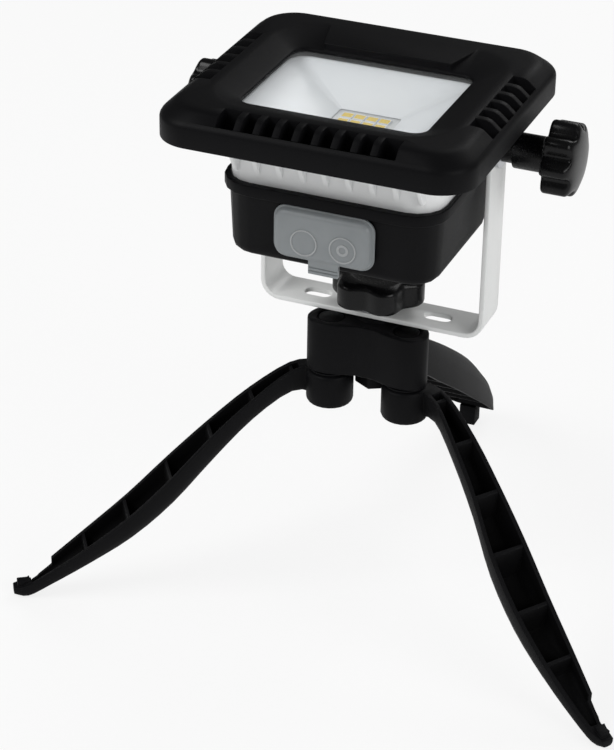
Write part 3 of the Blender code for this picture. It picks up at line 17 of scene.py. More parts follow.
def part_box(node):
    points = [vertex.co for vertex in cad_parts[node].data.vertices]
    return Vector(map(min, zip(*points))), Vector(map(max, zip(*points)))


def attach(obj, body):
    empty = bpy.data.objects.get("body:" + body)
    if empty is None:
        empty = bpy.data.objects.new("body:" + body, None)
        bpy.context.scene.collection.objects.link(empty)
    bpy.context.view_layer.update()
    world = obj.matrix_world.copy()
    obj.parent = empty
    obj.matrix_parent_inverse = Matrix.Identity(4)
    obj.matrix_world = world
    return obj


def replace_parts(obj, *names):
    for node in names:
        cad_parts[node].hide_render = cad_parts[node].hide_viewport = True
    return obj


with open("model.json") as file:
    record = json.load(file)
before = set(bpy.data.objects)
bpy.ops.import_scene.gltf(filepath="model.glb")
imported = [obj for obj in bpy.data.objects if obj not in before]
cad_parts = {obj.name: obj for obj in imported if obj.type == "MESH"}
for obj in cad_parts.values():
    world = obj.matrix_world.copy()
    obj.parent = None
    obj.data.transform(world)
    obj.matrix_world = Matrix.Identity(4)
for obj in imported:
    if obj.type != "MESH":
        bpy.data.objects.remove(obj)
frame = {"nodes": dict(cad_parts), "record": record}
nodes = frame["nodes"]
record = frame["record"]
body_of_node = {
    node: body for body, members in record["behaviour"]["bodies"].items() for node in members
}
slot_of_node = {row["node"]: row["material_slot"] for row in record["subparts"]}
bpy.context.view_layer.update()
MM = 0.001

# %% [markdown]
# ## The camera
# The photograph was taken from above and to the right with a long lens. Its place was solved from
# the corners of the lamp's frame, the bracket and the feet. Three axes say how the camera is
# turned: its right, its up, and the line back from the subject. The lens shift keeps the object
# where it is in the photograph's frame.

# %% Camera at the photograph's angle
bolt_low, bolt_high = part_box("hub_bolt")
hub_axis = (bolt_low + bolt_high) / 2
right = Vector((0.91872, 0.39481, 0.00819))
up = Vector((-0.20268, 0.45363, 0.86784))
back = right.cross(up)
eye = Vector((0.2931, hub_axis.y - 0.7904, 0.5661))
camera_data = bpy.data.cameras.new("photo_camera")
camera_data.sensor_width = 36
camera_data.lens = 122.4
camera_data.shift_x = 0.045
camera_data.shift_y = 0.012
camera_data.clip_start = 0.01
camera = bpy.data.objects.new("photo_camera", camera_data)
camera.matrix_world = Matrix.Translation(eye) @ Matrix((right, up, back)).transposed().to_4x4()
bpy.context.scene.collection.objects.link(camera)
bpy.context.scene.camera = camera
bpy.context.scene.view_settings.view_transform = "Standard"
print("camera", round((eye - hub_axis).length, 3), "m from the hub")

# %% [markdown]
# ## Shader maths as Python
# A material is a graph of nodes. Writing `1 - mask` is easier to read than adding a Math node and
# two links, so one small class wraps a socket and turns operators into Math nodes. A second class
# holds one node tree and adds any other node by its type, its settings and its sockets.


# %% A socket that can be added and multiplied
class Wire:
    """An output socket. An operator on it adds a Math node to its tree."""

    def __init__(self, tree, socket):
        self.tree = tree
        self.socket = socket

    def math(self, operation, first, second):
        node = self.tree.nodes.new("ShaderNodeMath")
        node.operation = operation
        plug(self.tree, node.inputs[0], first)
        plug(self.tree, node.inputs[1], second)
        return Wire(self.tree, node.outputs[0])

    def __add__(self, other):
        return self.math("ADD", self, other)

    def __radd__(self, other):
        return self.math("ADD", other, self)

    def __sub__(self, other):
        return self.math("SUBTRACT", self, other)

    def __rsub__(self, other):
        return self.math("SUBTRACT", other, self)

    def __mul__(self, other):
        return self.math("MULTIPLY", self, other)

    def __rmul__(self, other):
        return self.math("MULTIPLY", other, self)


def plug(tree, socket, value):
    """Links a wire to a socket, or sets the socket to a number, colour or vector."""
    if isinstance(value, Wire):
        tree.links.new(value.socket, socket)
    else:
        socket.default_value = value


print("wires can be added, subtracted and multiplied")

# %% A node tree that adds nodes by type
# A Mix node has a set of sockets for each kind of data. These are the places of the colour set.
MIX_FACTOR, MIX_FIRST, MIX_SECOND, MIX_RESULT = 0, 6, 7, 2


class Graph:
    """A node tree that starts empty. Its sizes are in millimetres."""

    def __init__(self, tree):
        self.tree = tree
        tree.nodes.clear()

    def add(self, kind, settings, sockets, out=0):
        """Adds a node, sets it, fills its sockets and returns one of its outputs."""
        node = self.tree.nodes.new(kind)
        for key, value in settings.items():
            setattr(node, key, value)
        for key, value in sockets.items():
            plug(self.tree, node.inputs[key], value)
        return Wire(self.tree, node.outputs[out]) if node.outputs else None

    def place(self):
        return self.add("ShaderNodeTexCoord", {}, {}, "Object")

    def noise(self, size, detail=2, at=None):
        """Soft noise whose blobs are about this size."""
        sockets = {"Vector": at or self.place(), "Scale": 1 / (size * MM), "Detail": detail}
        return self.add("ShaderNodeTexNoise", {}, sockets, "Fac")

    def ramp(self, value, low, high):
        """0 below low, 1 above high, and a straight slope between."""
        sockets = {"Value": value, "From Min": low, "From Max": high}
        return self.add("ShaderNodeMapRange", {}, sockets)

    def tint(self, mask, first, second):
        """The first colour where the mask is 0 and the second where it is 1."""
        sockets = {MIX_FACTOR: mask}
        for key, colour in ((MIX_FIRST, first), (MIX_SECOND, second)):
            sockets[key] = colour if isinstance(colour, Wire) else (*colour, 1)
        return self.add("ShaderNodeMix", {"data_type": "RGBA"}, sockets, MIX_RESULT)

    def bump(self, height, depth):
        """A surface relief from a height of 0 to 1 that is this deep."""
        sockets = {"Height": height, "Distance": depth * MM}
        return self.add("ShaderNodeBump", {}, sockets, "Normal")

    def surface(self, sockets):
        shader = self.add("ShaderNodeBsdfPrincipled", {}, sockets)
        self.add("ShaderNodeOutputMaterial", {}, {"Surface": shader})


def material(name):
    made = bpy.data.materials.new(name)
    made.use_nodes = True
    return made, Graph(made.node_tree)


print("shader helpers ready")

# %% [markdown]
# ## Studio
# The photograph is a cut-out on white. A pale floor takes the shadow, and three large soft lamps
# light the black plastic from both sides and from behind. A ray that comes straight from the
# camera sees a white world. Bounced light finds it dimmer, so that the colours come out about as
# they are written, and a reflection finds it dimmer still, so that black stays black.

# %% Floor
FLOOR_SIZE = 8
FLOOR_BELOW = 0.1 * MM
FLOOR_GLOW = 0.8
bpy.ops.object.select_all(action="DESELECT")
bpy.ops.mesh.primitive_plane_add(size=FLOOR_SIZE, location=(0, 0, -FLOOR_BELOW))
floor = bpy.context.object
floor.name = "studio_floor"
paper, graph = material("studio_paper")
pulp = graph.tint(graph.noise(4, 3), (0.86, 0.86, 0.86), (0.9, 0.9, 0.9))
lit = graph.add("ShaderNodeBsdfDiffuse", {}, {"Color": pulp})
glow = graph.add("ShaderNodeEmission", {}, {"Color": (1, 1, 1, 1), "Strength": 1.0})
seen = graph.add("ShaderNodeLightPath", {}, {}, "Is Camera Ray")
blend = graph.add("ShaderNodeMixShader", {}, {"Fac": seen * FLOOR_GLOW, 1: lit, 2: glow})
graph.add("ShaderNodeOutputMaterial", {}, {"Surface": blend})
floor.data.materials.append(paper)
print("floor", FLOOR_SIZE, "m wide")

# %% Lamps and world
AIM = Vector((0, 0, 0.12))
LAMP_HEIGHT_SHARE = 0.7
WORLD_SEEN, WORLD_BOUNCED, WORLD_REFLECTED = 1.0, 0.42, 0.12


def lamp(name, place, width, watts):
    """A soft box that looks at the lamp head, lower than it is wide."""
    light = bpy.data.lights.new(name, "AREA")
    light.shape = "RECTANGLE"
    light.size = width
    light.size_y = width * LAMP_HEIGHT_SHARE
    light.energy = watts
    stand = bpy.data.objects.new(name, light)
    stand.location = place
    stand.rotation_euler = (AIM - Vector(place)).to_track_quat("-Z", "Y").to_euler()
    bpy.context.scene.collection.objects.link(stand)


lamp("key_softbox", (-0.9, -0.9, 1.2), width=0.9, watts=12)
lamp("fill_softbox", (1.2, -0.5, 0.7), width=0.8, watts=6)
lamp("rear_softbox", (0.3, 1.1, 1.0), width=0.9, watts=5)

world = bpy.data.worlds.new("studio_world")
bpy.context.scene.world = world
world.use_nodes = True
graph = Graph(world.node_tree)
seen = graph.add("ShaderNodeLightPath", {}, {}, "Is Camera Ray")
glossy = graph.add("ShaderNodeLightPath", {}, {}, "Is Glossy Ray")
more = seen * (WORLD_SEEN - WORLD_BOUNCED)
less = glossy * (WORLD_BOUNCED - WORLD_REFLECTED)
strength = WORLD_BOUNCED + more - less
sky = graph.add("ShaderNodeBackground", {}, {"Color": (1, 1, 1, 1), "Strength": strength})
graph.add("ShaderNodeOutputWorld", {}, {"Surface": sky})
print("studio ready")

# %% [markdown]
# ## Moulded plastics
# The frame, case, hub and legs are one black moulded plastic with a fine spark-eroded grain. A
# flat black would look like a hole in the picture, so the colour drifts a little, the grain is a
# bump a few hundredths of a millimetre deep, and a trace of pale dust sits in patches. Where the
# mesh says that a point is shut in, shade is painted into the colour and the plastic is duller.
# The knobs are the same plastic from a smoother mould.

# %% Black plastics
DUST_GREY = (0.016, 0.016, 0.018)
DUST_SHARE = 0.25
PALER, PAINTED_SHADE = 1.5, 0.15


def moulded_plastic(name, colour, roughness, grain, depth, shine):
    """A black plastic whose grain has this size and depth in millimetres."""
    made, graph = material(name)
    where = graph.place()
    pits = graph.noise(grain, 2, where)
    drift = graph.noise(30, 3, where)
    specks = graph.ramp(graph.noise(1.1, 4, where), 0.62, 0.8) * graph.ramp(drift, 0.45, 0.7)
    paler = tuple(channel * PALER for channel in colour)
    painted_shade_colour = tuple(channel * PAINTED_SHADE for channel in colour)
    dusty = graph.tint(specks * DUST_SHARE, graph.tint(drift, colour, paler), DUST_GREY)
    # Shade is painted into the colour where a point is shut in, as its occlusion share says.
    shut = graph.add("ShaderNodeAttribute", {"attribute_name": "painted_occlusion"}, {}, "Fac")
    graph.surface(
        {
            "Base Color": graph.tint(graph.ramp(shut, 0.2, 0.7), dusty, painted_shade_colour),
            "Roughness": roughness + (pits - 0.5) * 0.16 + (drift - 0.5) * 0.12 + shut * 0.4,
            "Specular IOR Level": shine,
            "Normal": graph.bump(pits, depth),
        }
    )
    return made


casing_black = moulded_plastic(
    "casing_black", (0.0028, 0.0028, 0.0033), roughness=0.5, grain=0.45, depth=0.04, shine=0.09
)
knob_black = moulded_plastic(
    "knob_black", (0.0024, 0.0024, 0.0027), roughness=0.26, grain=0.3, depth=0.01, shine=0.22
)
rubber_black = moulded_plastic(
    "rubber_black", (0.008, 0.008, 0.008), roughness=0.75, grain=0.6, depth=0.04, shine=0.12
)
print("black plastics ready")

# %% [markdown]
# ## Paint, casting and reflector
# The bracket is steel with a white powder coat, which has a soft orange-peel skin. The heat sink
# is die cast and painted white, with a finer and deeper skin. The reflector is a satin white
# moulding. Each one is an off-white with a little variation, because pure white clips to paper.


# %% White finishes
def white_finish(name, colour, shade, roughness, peel, depth, coat=0.0):
    """A white whose uneven skin has this size and depth in millimetres."""
    made, graph = material(name)
    where = graph.place()
    skin = graph.noise(peel, 2, where)
    cloud = graph.noise(25, 3, where)
    grime = graph.ramp(graph.noise(6, 4, where), 0.58, 0.85)
    graph.surface(
        {
            "Base Color": graph.tint(grime * 0.35 + cloud * 0.25, colour, shade),
            "Roughness": roughness + (skin - 0.5) * 0.12 + grime * 0.08,
            "Coat Weight": coat,
            "Coat Roughness": 0.15,
            "Normal": graph.bump(skin, depth),
        }
    )
    return made


powder_coat = white_finish(
    "powder_coat", (0.8, 0.81, 0.8), (0.7, 0.71, 0.71), 0.38, peel=1.6, depth=0.04, coat=0.15
)
cast_white = white_finish(
    "cast_white", (0.88, 0.89, 0.89), (0.78, 0.79, 0.8), 0.48, peel=0.8, depth=0.06
)
reflector_white = white_finish(
    "reflector_white", (0.83, 0.86, 0.88), (0.76, 0.79, 0.82), 0.3, peel=0.7, depth=0.01, coat=0.2
)
board_mask = white_finish(
    "board_mask", (0.8, 0.82, 0.82), (0.72, 0.74, 0.75), 0.35, peel=0.5, depth=0.01, coat=0.2
)
nylon_white = white_finish(
    "nylon_white", (0.7, 0.69, 0.64), (0.6, 0.58, 0.53), 0.5, peel=0.9, depth=0.02
)
print("white finishes ready")

# %% [markdown]
# ## Silicone, glass and metal
# The charging flap is a milky grey silicone, so light goes a short way in, and its mould left a
# matt skin. The glass is clear: most light goes straight through it, and it shines more at a
# shallow angle. The small hardware is zinc plated, blackened or brass, with fine level lines like
# turning marks. Boards, cell sleeves and leads have a smooth skin in two shades.


# %% Silicone and glass
def milky_silicone(name, colour, shade):
    """A soft translucent moulding with a matt skin."""
    made, graph = material(name)
    where = graph.place()
    skin = graph.noise(0.6, 3, where)
    cloud = graph.noise(9, 3, where)
    graph.surface(
        {
            "Base Color": graph.tint(cloud, colour, shade),
            "Roughness": 0.4 + (skin - 0.5) * 0.2,
            "Subsurface Weight": 0.3,
            "Subsurface Radius": (0.8, 0.9, 1.0),
            "Subsurface Scale": 1.2 * MM,
            "Normal": graph.bump(skin, 0.03),
        }
    )
    return made


silicone = milky_silicone("milky_silicone", (0.2, 0.215, 0.222), (0.25, 0.268, 0.276))
thick_silicone = milky_silicone("thick_silicone", (0.3, 0.31, 0.315), (0.36, 0.37, 0.375))

window_glass, graph = material("window_glass")
smear = graph.ramp(graph.noise(14, 4), 0.5, 0.8)
edge_on = graph.add("ShaderNodeLayerWeight", {}, {"Blend": 0.35}, "Facing")
graph.surface(
    {
        "Base Color": (0.93, 0.96, 0.97, 1),
        "Roughness": 0.04 + smear * 0.05,
        "Alpha": 0.03 + edge_on * 0.12 + smear * 0.02,
        "IOR": 1.5,
    }
)
print("silicone and glass ready")

# %% Metals, boards and cells
LINE_SQUEEZE = 9


def turned_metal(name, colour, shade, roughness):
    """A bare or plated metal with fine level lines."""
    made, graph = material(name)
    where = graph.place()
    squeeze = {"Vector": where, "Scale": (1, 1, LINE_SQUEEZE)}
    lines = graph.noise(1.2, 3, graph.add("ShaderNodeMapping", {}, squeeze))
    tarnish = graph.noise(4, 4, where)
    graph.surface(
        {
            "Base Color": graph.tint(tarnish, colour, shade),
            "Metallic": 1.0,
            "Roughness": roughness + (lines - 0.5) * 0.2,
            "Normal": graph.bump(lines, 0.01),
        }
    )
    return made


zinc = turned_metal("zinc_plate", (0.62, 0.63, 0.65), (0.48, 0.49, 0.51), 0.34)
black_oxide = turned_metal("black_oxide", (0.012, 0.012, 0.013), (0.02, 0.02, 0.021), 0.5)
brass = turned_metal("turned_brass", (0.72, 0.52, 0.26), (0.55, 0.38, 0.17), 0.3)


def glossy_skin(name, colour, shade, cell, roughness):
    """A smooth lacquer, sleeve or solder mask with patches of a cell's size in two shades."""
    made, graph = material(name)
    patch = graph.ramp(graph.noise(cell, 3), 0.4, 0.6)
    graph.surface(
        {
            "Base Color": graph.tint(patch, colour, shade),
            "Roughness": roughness + patch * 0.1,
            "Normal": graph.bump(graph.noise(cell / 4, 2), 0.01),
        }
    )
    return made


board_green = glossy_skin("board_green", (0.02, 0.13, 0.05), (0.03, 0.2, 0.09), 2.5, 0.35)
cell_blue = glossy_skin("cell_blue", (0.04, 0.11, 0.34), (0.06, 0.14, 0.4), 10, 0.3)
lead_red = glossy_skin("lead_red", (0.42, 0.02, 0.02), (0.5, 0.03, 0.03), 3, 0.4)
phosphor = glossy_skin("phosphor", (0.84, 0.58, 0.03), (0.9, 0.66, 0.07), 0.8, 0.5)
finish_of_slot = {
    "moulded_black": casing_black,
    "knob_black": knob_black,
    "white_paint": powder_coat,
    "cast_white": cast_white,
    "window_glass": window_glass,
    "reflector_white": reflector_white,
    "seal_rubber": rubber_black,
    "grey_silicone": silicone,
    "zinc_steel": zinc,
    "black_steel": black_oxide,
    "brass": brass,
    "nylon": nylon_white,
    "diode_board": board_mask,
    "circuit_board": board_green,
    "cell_sleeve": cell_blue,
    "lead_red": lead_red,
}
print(len(finish_of_slot), "finishes ready")

# %% [markdown]
# ## Soft edges on the CAD solids
# A moulding, a pressing and a casting never have a perfectly sharp edge, and the thin bright line
# along an edge is what makes a black part readable. Each CAD mesh is copied, its loose triangles
# are merged into faces, and a Bevel modifier rounds the edges. The edge width fits the process:
# wide on a moulding, narrow on a washer.


# %% Selecting, copying and painting a piece
def only(piece):
    """Makes this piece the one that is selected."""
    bpy.ops.object.select_all(action="DESELECT")
    piece.select_set(True)
    bpy.context.view_layer.objects.active = piece


def open_edit():
    bpy.ops.object.mode_set(mode="EDIT")


def close_edit():
    bpy.ops.object.mode_set(mode="OBJECT")


def edit_all(piece):
    """Opens a piece in edit mode with everything selected."""
    only(piece)
    open_edit()
    bpy.ops.mesh.select_all(action="SELECT")


def apply(piece, kind, **settings):
    """Adds a modifier, sets it and applies it."""
    only(piece)
    modifier = piece.modifiers.new(kind.lower(), kind)
    for key, value in settings.items():
        setattr(modifier, key, value)
    bpy.ops.object.modifier_apply(modifier=modifier.name)


def copy_of(model, name):
    """A copy of an object, with a mesh of its own."""
    twin = bpy.data.objects.new(name, model.data.copy())
    bpy.context.scene.collection.objects.link(twin)
    return twin


def paint(piece, finish):
    piece.data.materials.clear()
    piece.data.materials.append(finish)


def dressed(piece, node, finish):
    """Paints a piece, and gives it the body of a CAD node."""
    paint(piece, finish)
    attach(piece, body_of_node[node])
    return piece


def finished(piece, node, finish):
    """Dresses a piece that is shown in the place of a CAD node."""
    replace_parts(dressed(piece, node, finish), node)
    return piece


print("piece helpers ready")

# %% A copy of a CAD mesh with soft edges
# Points nearer than JOIN, in millimetres, are one point. Faces that turn by less than FLAT, in
# degrees, are one face, and an edge that turns by more than SHARP is rounded.
JOIN = 0.002
FLAT = 0.6
SHARP = 32


def merged_copy(node, name, weld):
    """A copy of a CAD mesh with whole faces, and with points nearer than the weld joined."""
    piece = copy_of(nodes[node], name)
    only(piece)
    if piece.data.has_custom_normals:
        bpy.ops.mesh.customdata_custom_splitnormals_clear()
    edit_all(piece)
    bpy.ops.mesh.remove_doubles(threshold=JOIN * MM)
    bpy.ops.mesh.dissolve_limited(angle_limit=math.radians(FLAT))
    bpy.ops.mesh.remove_doubles(threshold=weld * MM)
    close_edit()
    return piece


def round_edges(piece, width, segments, angle=SHARP):
    """Rounds the edges that are sharper than an angle to this width in millimetres."""
    apply(
        piece,
        "BEVEL",
        width=width * MM,
        segments=segments,
        limit_method="ANGLE",
        angle_limit=math.radians(angle),
        use_clamp_overlap=False,
        miter_outer="MITER_ARC",
    )


def smooth(piece, angle=SHARP):
    """Shades a piece smooth, apart from the edges that are sharper than an angle."""
    only(piece)
    bpy.ops.object.shade_smooth_by_angle(angle=math.radians(angle))


def softened(node, name, width, weld=JOIN, segments=3):
    """A finished copy of a CAD mesh with its sharp edges rounded."""
    piece = merged_copy(node, name, weld)
    round_edges(piece, width, segments)
    apply(piece, "WELD", merge_threshold=JOIN * MM)
    smooth(piece)
    return finished(piece, node, finish_of_slot[slot_of_node[node]])


print("edge helpers ready")

# %% [markdown]
# ## The larger mouldings
# The case and hub are moulded, the heat sink is die cast, the bracket is bent from steel strip,
# and the reflector and glass close the lamp. Each could be modelled again from a block, but the
# CAD shape already carries the fins, bores and slots, so it is kept and only its edges change.

# %% Case, heat sink, bracket, hub, reflector and glass
softened("rear_cover", "case_back", width=0.35, weld=0.2)
softened("heat_sink", "finned_sink", width=0.4, weld=0.2)
softened("u_bracket", "steel_bracket", width=0.5)
softened("hub", "stand_hub", width=0.6)
softened("reflector", "white_reflector", width=0.3)
softened("glass_lens", "front_glass", width=0.4)
print("large pieces ready")

# %% [markdown]
# ## The legs
# Each leg is a thin ribbed channel, and almost no light reaches its floor. A short script looks
# out from each point of the mesh in many directions and stores the share that meets the leg
# itself. The plastic reads that number: shade is painted into its colour there, and it goes
# duller.

# %% Legs with dark channels
# A look starts LOOK_FROM millimetres off the surface, and the cosine of its angle to the normal
# is over LOOK_OUT.
LOOKS = 40
LOOK_FROM = 0.2
LOOK_OUT = 0.2
HOLLOW_REACH = 22 * MM
GOLDEN_ANGLE = math.pi * (3 - math.sqrt(5))
looks = []
for index in range(LOOKS):
    height = 1 - 2 * (index + 0.5) / LOOKS
    across = math.sqrt(1 - height * height)
    turn = GOLDEN_ANGLE * index
    looks.append(Vector((across * math.cos(turn), across * math.sin(turn), height)))


def store_occlusion(piece):
    """Stores on each point how shut in it is, from 0 in the open to 1 in a deep channel."""
    mesh = piece.data
    places = [point.co for point in mesh.vertices]
    tree = BVHTree.FromPolygons(places, [face.vertices for face in mesh.polygons])
    shut = mesh.attributes.new("painted_occlusion", "FLOAT", "POINT")
    for point in mesh.vertices:
        start = point.co + point.normal * LOOK_FROM * MM
        outward = [look for look in looks if look.dot(point.normal) > LOOK_OUT]
        hits = [tree.ray_cast(start, look, HOLLOW_REACH)[0] for look in outward]
        met = [hit for hit in hits if hit is not None]
        shut.data[point.index].value = len(met) / len(outward)


# Each leg stores its occlusion share, from which the plastic paints shade into its colour.
for node, name in (("leg_left", "left_leg"), ("leg_right", "right_leg"), ("leg_rear", "rear_leg")):
    store_occlusion(softened(node, name, width=0.3, weld=0.35))
print("legs ready")

# %% [markdown]
# ## Modelling by hand
# The lamp's frame, the knobs, the flap and the diodes need finer shapes than the CAD solids. Each
# starts as a block or a cylinder of its real size. Faces are picked by where they are, and then
# inset, extruded and bevelled.


# %% Blocks, drums and cuts
def at_origin(name):
    """Names the object just added, and moves its place into its mesh."""
    piece = bpy.context.object
    piece.name = name
    piece.data.name = name
    bpy.ops.object.transform_apply(location=True, rotation=True, scale=True)
    return piece


def block(name, low, high):
    """A block between two corners."""
    bpy.ops.object.select_all(action="DESELECT")
    low, high = Vector(low), Vector(high)
    bpy.ops.mesh.primitive_cube_add(size=1, location=(low + high) / 2, scale=high - low)
    return at_origin(name)


def drum(name, middle, axis, radius, length, points):
    """A round bar about a middle point, along an axis."""
    bpy.ops.object.select_all(action="DESELECT")
    turn = Vector(axis).to_track_quat("Z", "Y").to_euler()
    bpy.ops.mesh.primitive_cylinder_add(
        vertices=points, radius=radius, depth=length, location=middle, rotation=turn
    )
    return at_origin(name)


def cut_with(piece, cutter, operation="DIFFERENCE"):
    """Cuts or joins another object and removes it."""
    apply(piece, "BOOLEAN", operation=operation, object=cutter, solver="EXACT")
    bpy.data.objects.remove(cutter, do_unlink=True)


def soft_edges(piece, width, segments=3, angle=SHARP):
    """Rounds the edges that are sharper than an angle, then shades the piece smooth."""
    round_edges(piece, width, segments, angle)
    smooth(piece)


print("modelling helpers ready")

# %% Picking faces and edges by their place
FACING = 0.9


def nothing_picked(piece, kind):
    """Leaves nothing selected on a piece, with edit mode set to pick faces or edges."""
    close_edit()
    only(piece)
    open_edit()
    bpy.ops.mesh.select_mode(type=kind)
    bpy.ops.mesh.select_all(action="DESELECT")
    close_edit()


def pick_faces(piece, test):
    """Opens edit mode with the faces selected whose middle and normal pass the test."""
    nothing_picked(piece, "FACE")
    for face in piece.data.polygons:
        face.select = test(face.center, face.normal)
    open_edit()


def pick_edges(piece, test):
    """Opens edit mode with the edges selected whose two ends pass the test."""
    nothing_picked(piece, "EDGE")
    points = piece.data.vertices
    for edge in piece.data.edges:
        edge.select = test(*[points[index].co for index in edge.vertices])
    open_edit()


def upward(middle, normal):
    return normal.z > FACING


def downward(middle, normal):
    return normal.z < -FACING


def forward(middle, normal):
    return normal.y < -FACING


print("picking helpers ready")

# %% [markdown]
# ## The lamp's frame
# The real frame is one moulding: a skirt, a broad rounded bevel, a flat crest and a slope down to
# the window. It could be lofted from curves, but a block is more direct: its corners are
# bevelled, and its top and bottom faces are then extruded ring by ring to a list of outlines, as
# a modeller walks a profile. The window sits nearer the front.

# %% Outlines of the frame's rings
frame_low, frame_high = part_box("front_bezel")
frame_middle = (frame_low + frame_high) / 2
frame_half = (frame_high - frame_low) / 2
glass_low, glass_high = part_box("glass_lens")
SKIRT = 8.5 * MM
FRAME_CORNER = 14 * MM
CORNER_STEPS = 12
CREST_UNDER = 0.02 * MM
GLASS_LIP = 4.3 * MM
GLASS_GAP = 0.3 * MM
WINDOW_EDGE = 1 * MM
WINDOW_CORNER = 5 * MM
rim_z = frame_low.z + SKIRT
crest_z = frame_high.z - CREST_UNDER
seat_z = glass_high.z + GLASS_GAP
window_z = seat_z + WINDOW_EDGE
window_shift = (glass_low.y + glass_high.y) / 2 - frame_middle.y
window_half = (glass_high - glass_low) / 2 - Vector((GLASS_LIP, GLASS_LIP, 0))


def outline(half_x, half_y, radius, z, shift_y=0.0):
    """Points of a rounded rectangle about the frame's middle, sorted by their angle."""
    points = []
    for corner_x, corner_y, start in ((1, 1, 0), (-1, 1, 90), (-1, -1, 180), (1, -1, 270)):
        for step in range(CORNER_STEPS + 1):
            angle = math.radians(start + 90 * step / CORNER_STEPS)
            x = corner_x * (half_x - radius) + radius * math.cos(angle)
            y = corner_y * (half_y - radius) + radius * math.sin(angle)
            points.append((math.atan2(y, x), x, y))
    points.sort()
    return [Vector((frame_middle.x + x, frame_middle.y + shift_y + y, z)) for _, x, y in points]


def frame_ring(inset, radius, z):
    return outline(frame_half.x - inset, frame_half.y - inset, radius, z)


def window_ring(grow, radius, z):
    return outline(window_half.x + grow, window_half.y + grow, radius, z, window_shift)


print("window", [round(2 * side / MM, 1) for side in window_half[:2]], "mm")


# %% Walking an end face along rings
def walk(piece, rings, capped=False):
    """Extrudes the selected end face to each ring in turn, and opens the last unless capped."""
    for ring in rings:
        bpy.ops.mesh.extrude_region_move()
        close_edit()
        points = [point for point in piece.data.vertices if point.select]
        centre = sum((point.co for point in points), Vector()) / len(points)
        points.sort(key=lambda point: math.atan2(point.co.y - centre.y, point.co.x - centre.x))
        for point, place in zip(points, ring):
            point.co = place
        open_edit()
    if not capped:
        bpy.ops.mesh.delete(type="ONLY_FACE")
    close_edit()


print("walk ready")

# %% Frame from skirt to window
# Each row is an inset, a corner radius and a height over the rim, crest or window's edge, in
# millimetres. The window's rows have how far the ring lies outside the window instead of an inset.
RIM_PROFILE = [(0.15, 14, -0.75), (0.6, 13.8, 0.1), (1.4, 13.4, 1.0)]
CREST_PROFILE = [
    (4.2, 12.2, -1.1),
    (5.0, 11.8, -0.55),
    (6.0, 11.3, -0.2),
    (7.2, 10.8, -0.03),
    (8.4, 10.5, 0),
    (12.4, 14, 0),
    (13.2, 15, -0.06),
    (14.0, 16, -0.22),
]
WINDOW_PROFILE = [(1.1, 6.1, 0.32), (0.4, 5.4, 0.02), (0, 5, -0.3)]
BLOCK_UNDER = 1.6 * MM
UPRIGHT_EDGE = 2 * MM
lamp_frame = block("lamp_frame", frame_low, (frame_high.x, frame_high.y, rim_z - BLOCK_UNDER))
pick_edges(lamp_frame, lambda a, b: abs(a.z - b.z) > UPRIGHT_EDGE)
bpy.ops.mesh.bevel(offset=FRAME_CORNER, segments=CORNER_STEPS, affect="EDGES")
pick_faces(lamp_frame, upward)
rings = []
for ring_of, start_z, profile in (
    (frame_ring, rim_z, RIM_PROFILE),
    (frame_ring, crest_z, CREST_PROFILE),
    (window_ring, window_z, WINDOW_PROFILE),
):
    for inset, radius, rise in profile:
        rings.append(ring_of(inset * MM, radius * MM, start_z + rise * MM))
rings.append(window_ring(0, WINDOW_CORNER, seat_z))
walk(lamp_frame, rings)
print("frame walked over", len(rings), "rings")

# %% Underside of the frame
FRAME_WALL = 2.5 * MM
LEDGE = 0.6 * MM
FRAME_JOIN = 0.01 * MM
pocket = GLASS_LIP + GLASS_GAP
outside = pocket + FRAME_WALL
under_z = frame_low.z
ledge_z = under_z + LEDGE
pick_faces(lamp_frame, downward)
walk(
    lamp_frame,
    [
        frame_ring(FRAME_WALL, FRAME_CORNER - FRAME_WALL, under_z),
        frame_ring(FRAME_WALL, FRAME_CORNER - FRAME_WALL, ledge_z),
        window_ring(outside, WINDOW_CORNER + outside, ledge_z),
        window_ring(outside, WINDOW_CORNER + outside, under_z),
        window_ring(pocket, WINDOW_CORNER + pocket, under_z),
        window_ring(pocket, WINDOW_CORNER + pocket, seat_z),
        window_ring(0, WINDOW_CORNER, seat_z),
    ],
)
edit_all(lamp_frame)
bpy.ops.mesh.remove_doubles(threshold=FRAME_JOIN)
bpy.ops.mesh.normals_make_consistent(inside=False)
close_edit()
print("frame", len(lamp_frame.data.polygons), "faces")

# %% [markdown]
# ## Vents and the far shelf
# On three sides the crest is cut by a row of blind slots that run out over the bevel, with a
# wider slot at each end. Insets on the crest could not run out over its edge, so each slot is
# cut with a block. The far side has no vents: a flat shelf carries the crest on towards the
# window.

# %% Slots on three sides
VENT_RIB = 2.6 * MM
VENT_END = 6.4 * MM
VENT_FROM_EDGE = 1.5 * MM
VENT_LENGTH = 8.5 * MM
VENT_FLOOR = 2.2 * MM
CUT_ABOVE = 3 * MM
FRONT_ROW, FRONT_RIBS = 64.5 * MM, 8
SIDE_ROW, SIDE_RIBS = 46 * MM, 5
vent_low = frame_low.z + VENT_FLOOR
vent_high = crest_z + CUT_ABOVE


def slot_spans(length, ribs):
    """Start and end of each slot in a row with this many ribs."""
    inner = (length - 2 * VENT_END - ribs * VENT_RIB) / (ribs - 1)
    widths = [VENT_END] + [inner] * (ribs - 1) + [VENT_END]
    start = -length / 2
    spans = []
    for width in widths:
        spans.append((start, start + width))
        start += width + VENT_RIB
    return spans


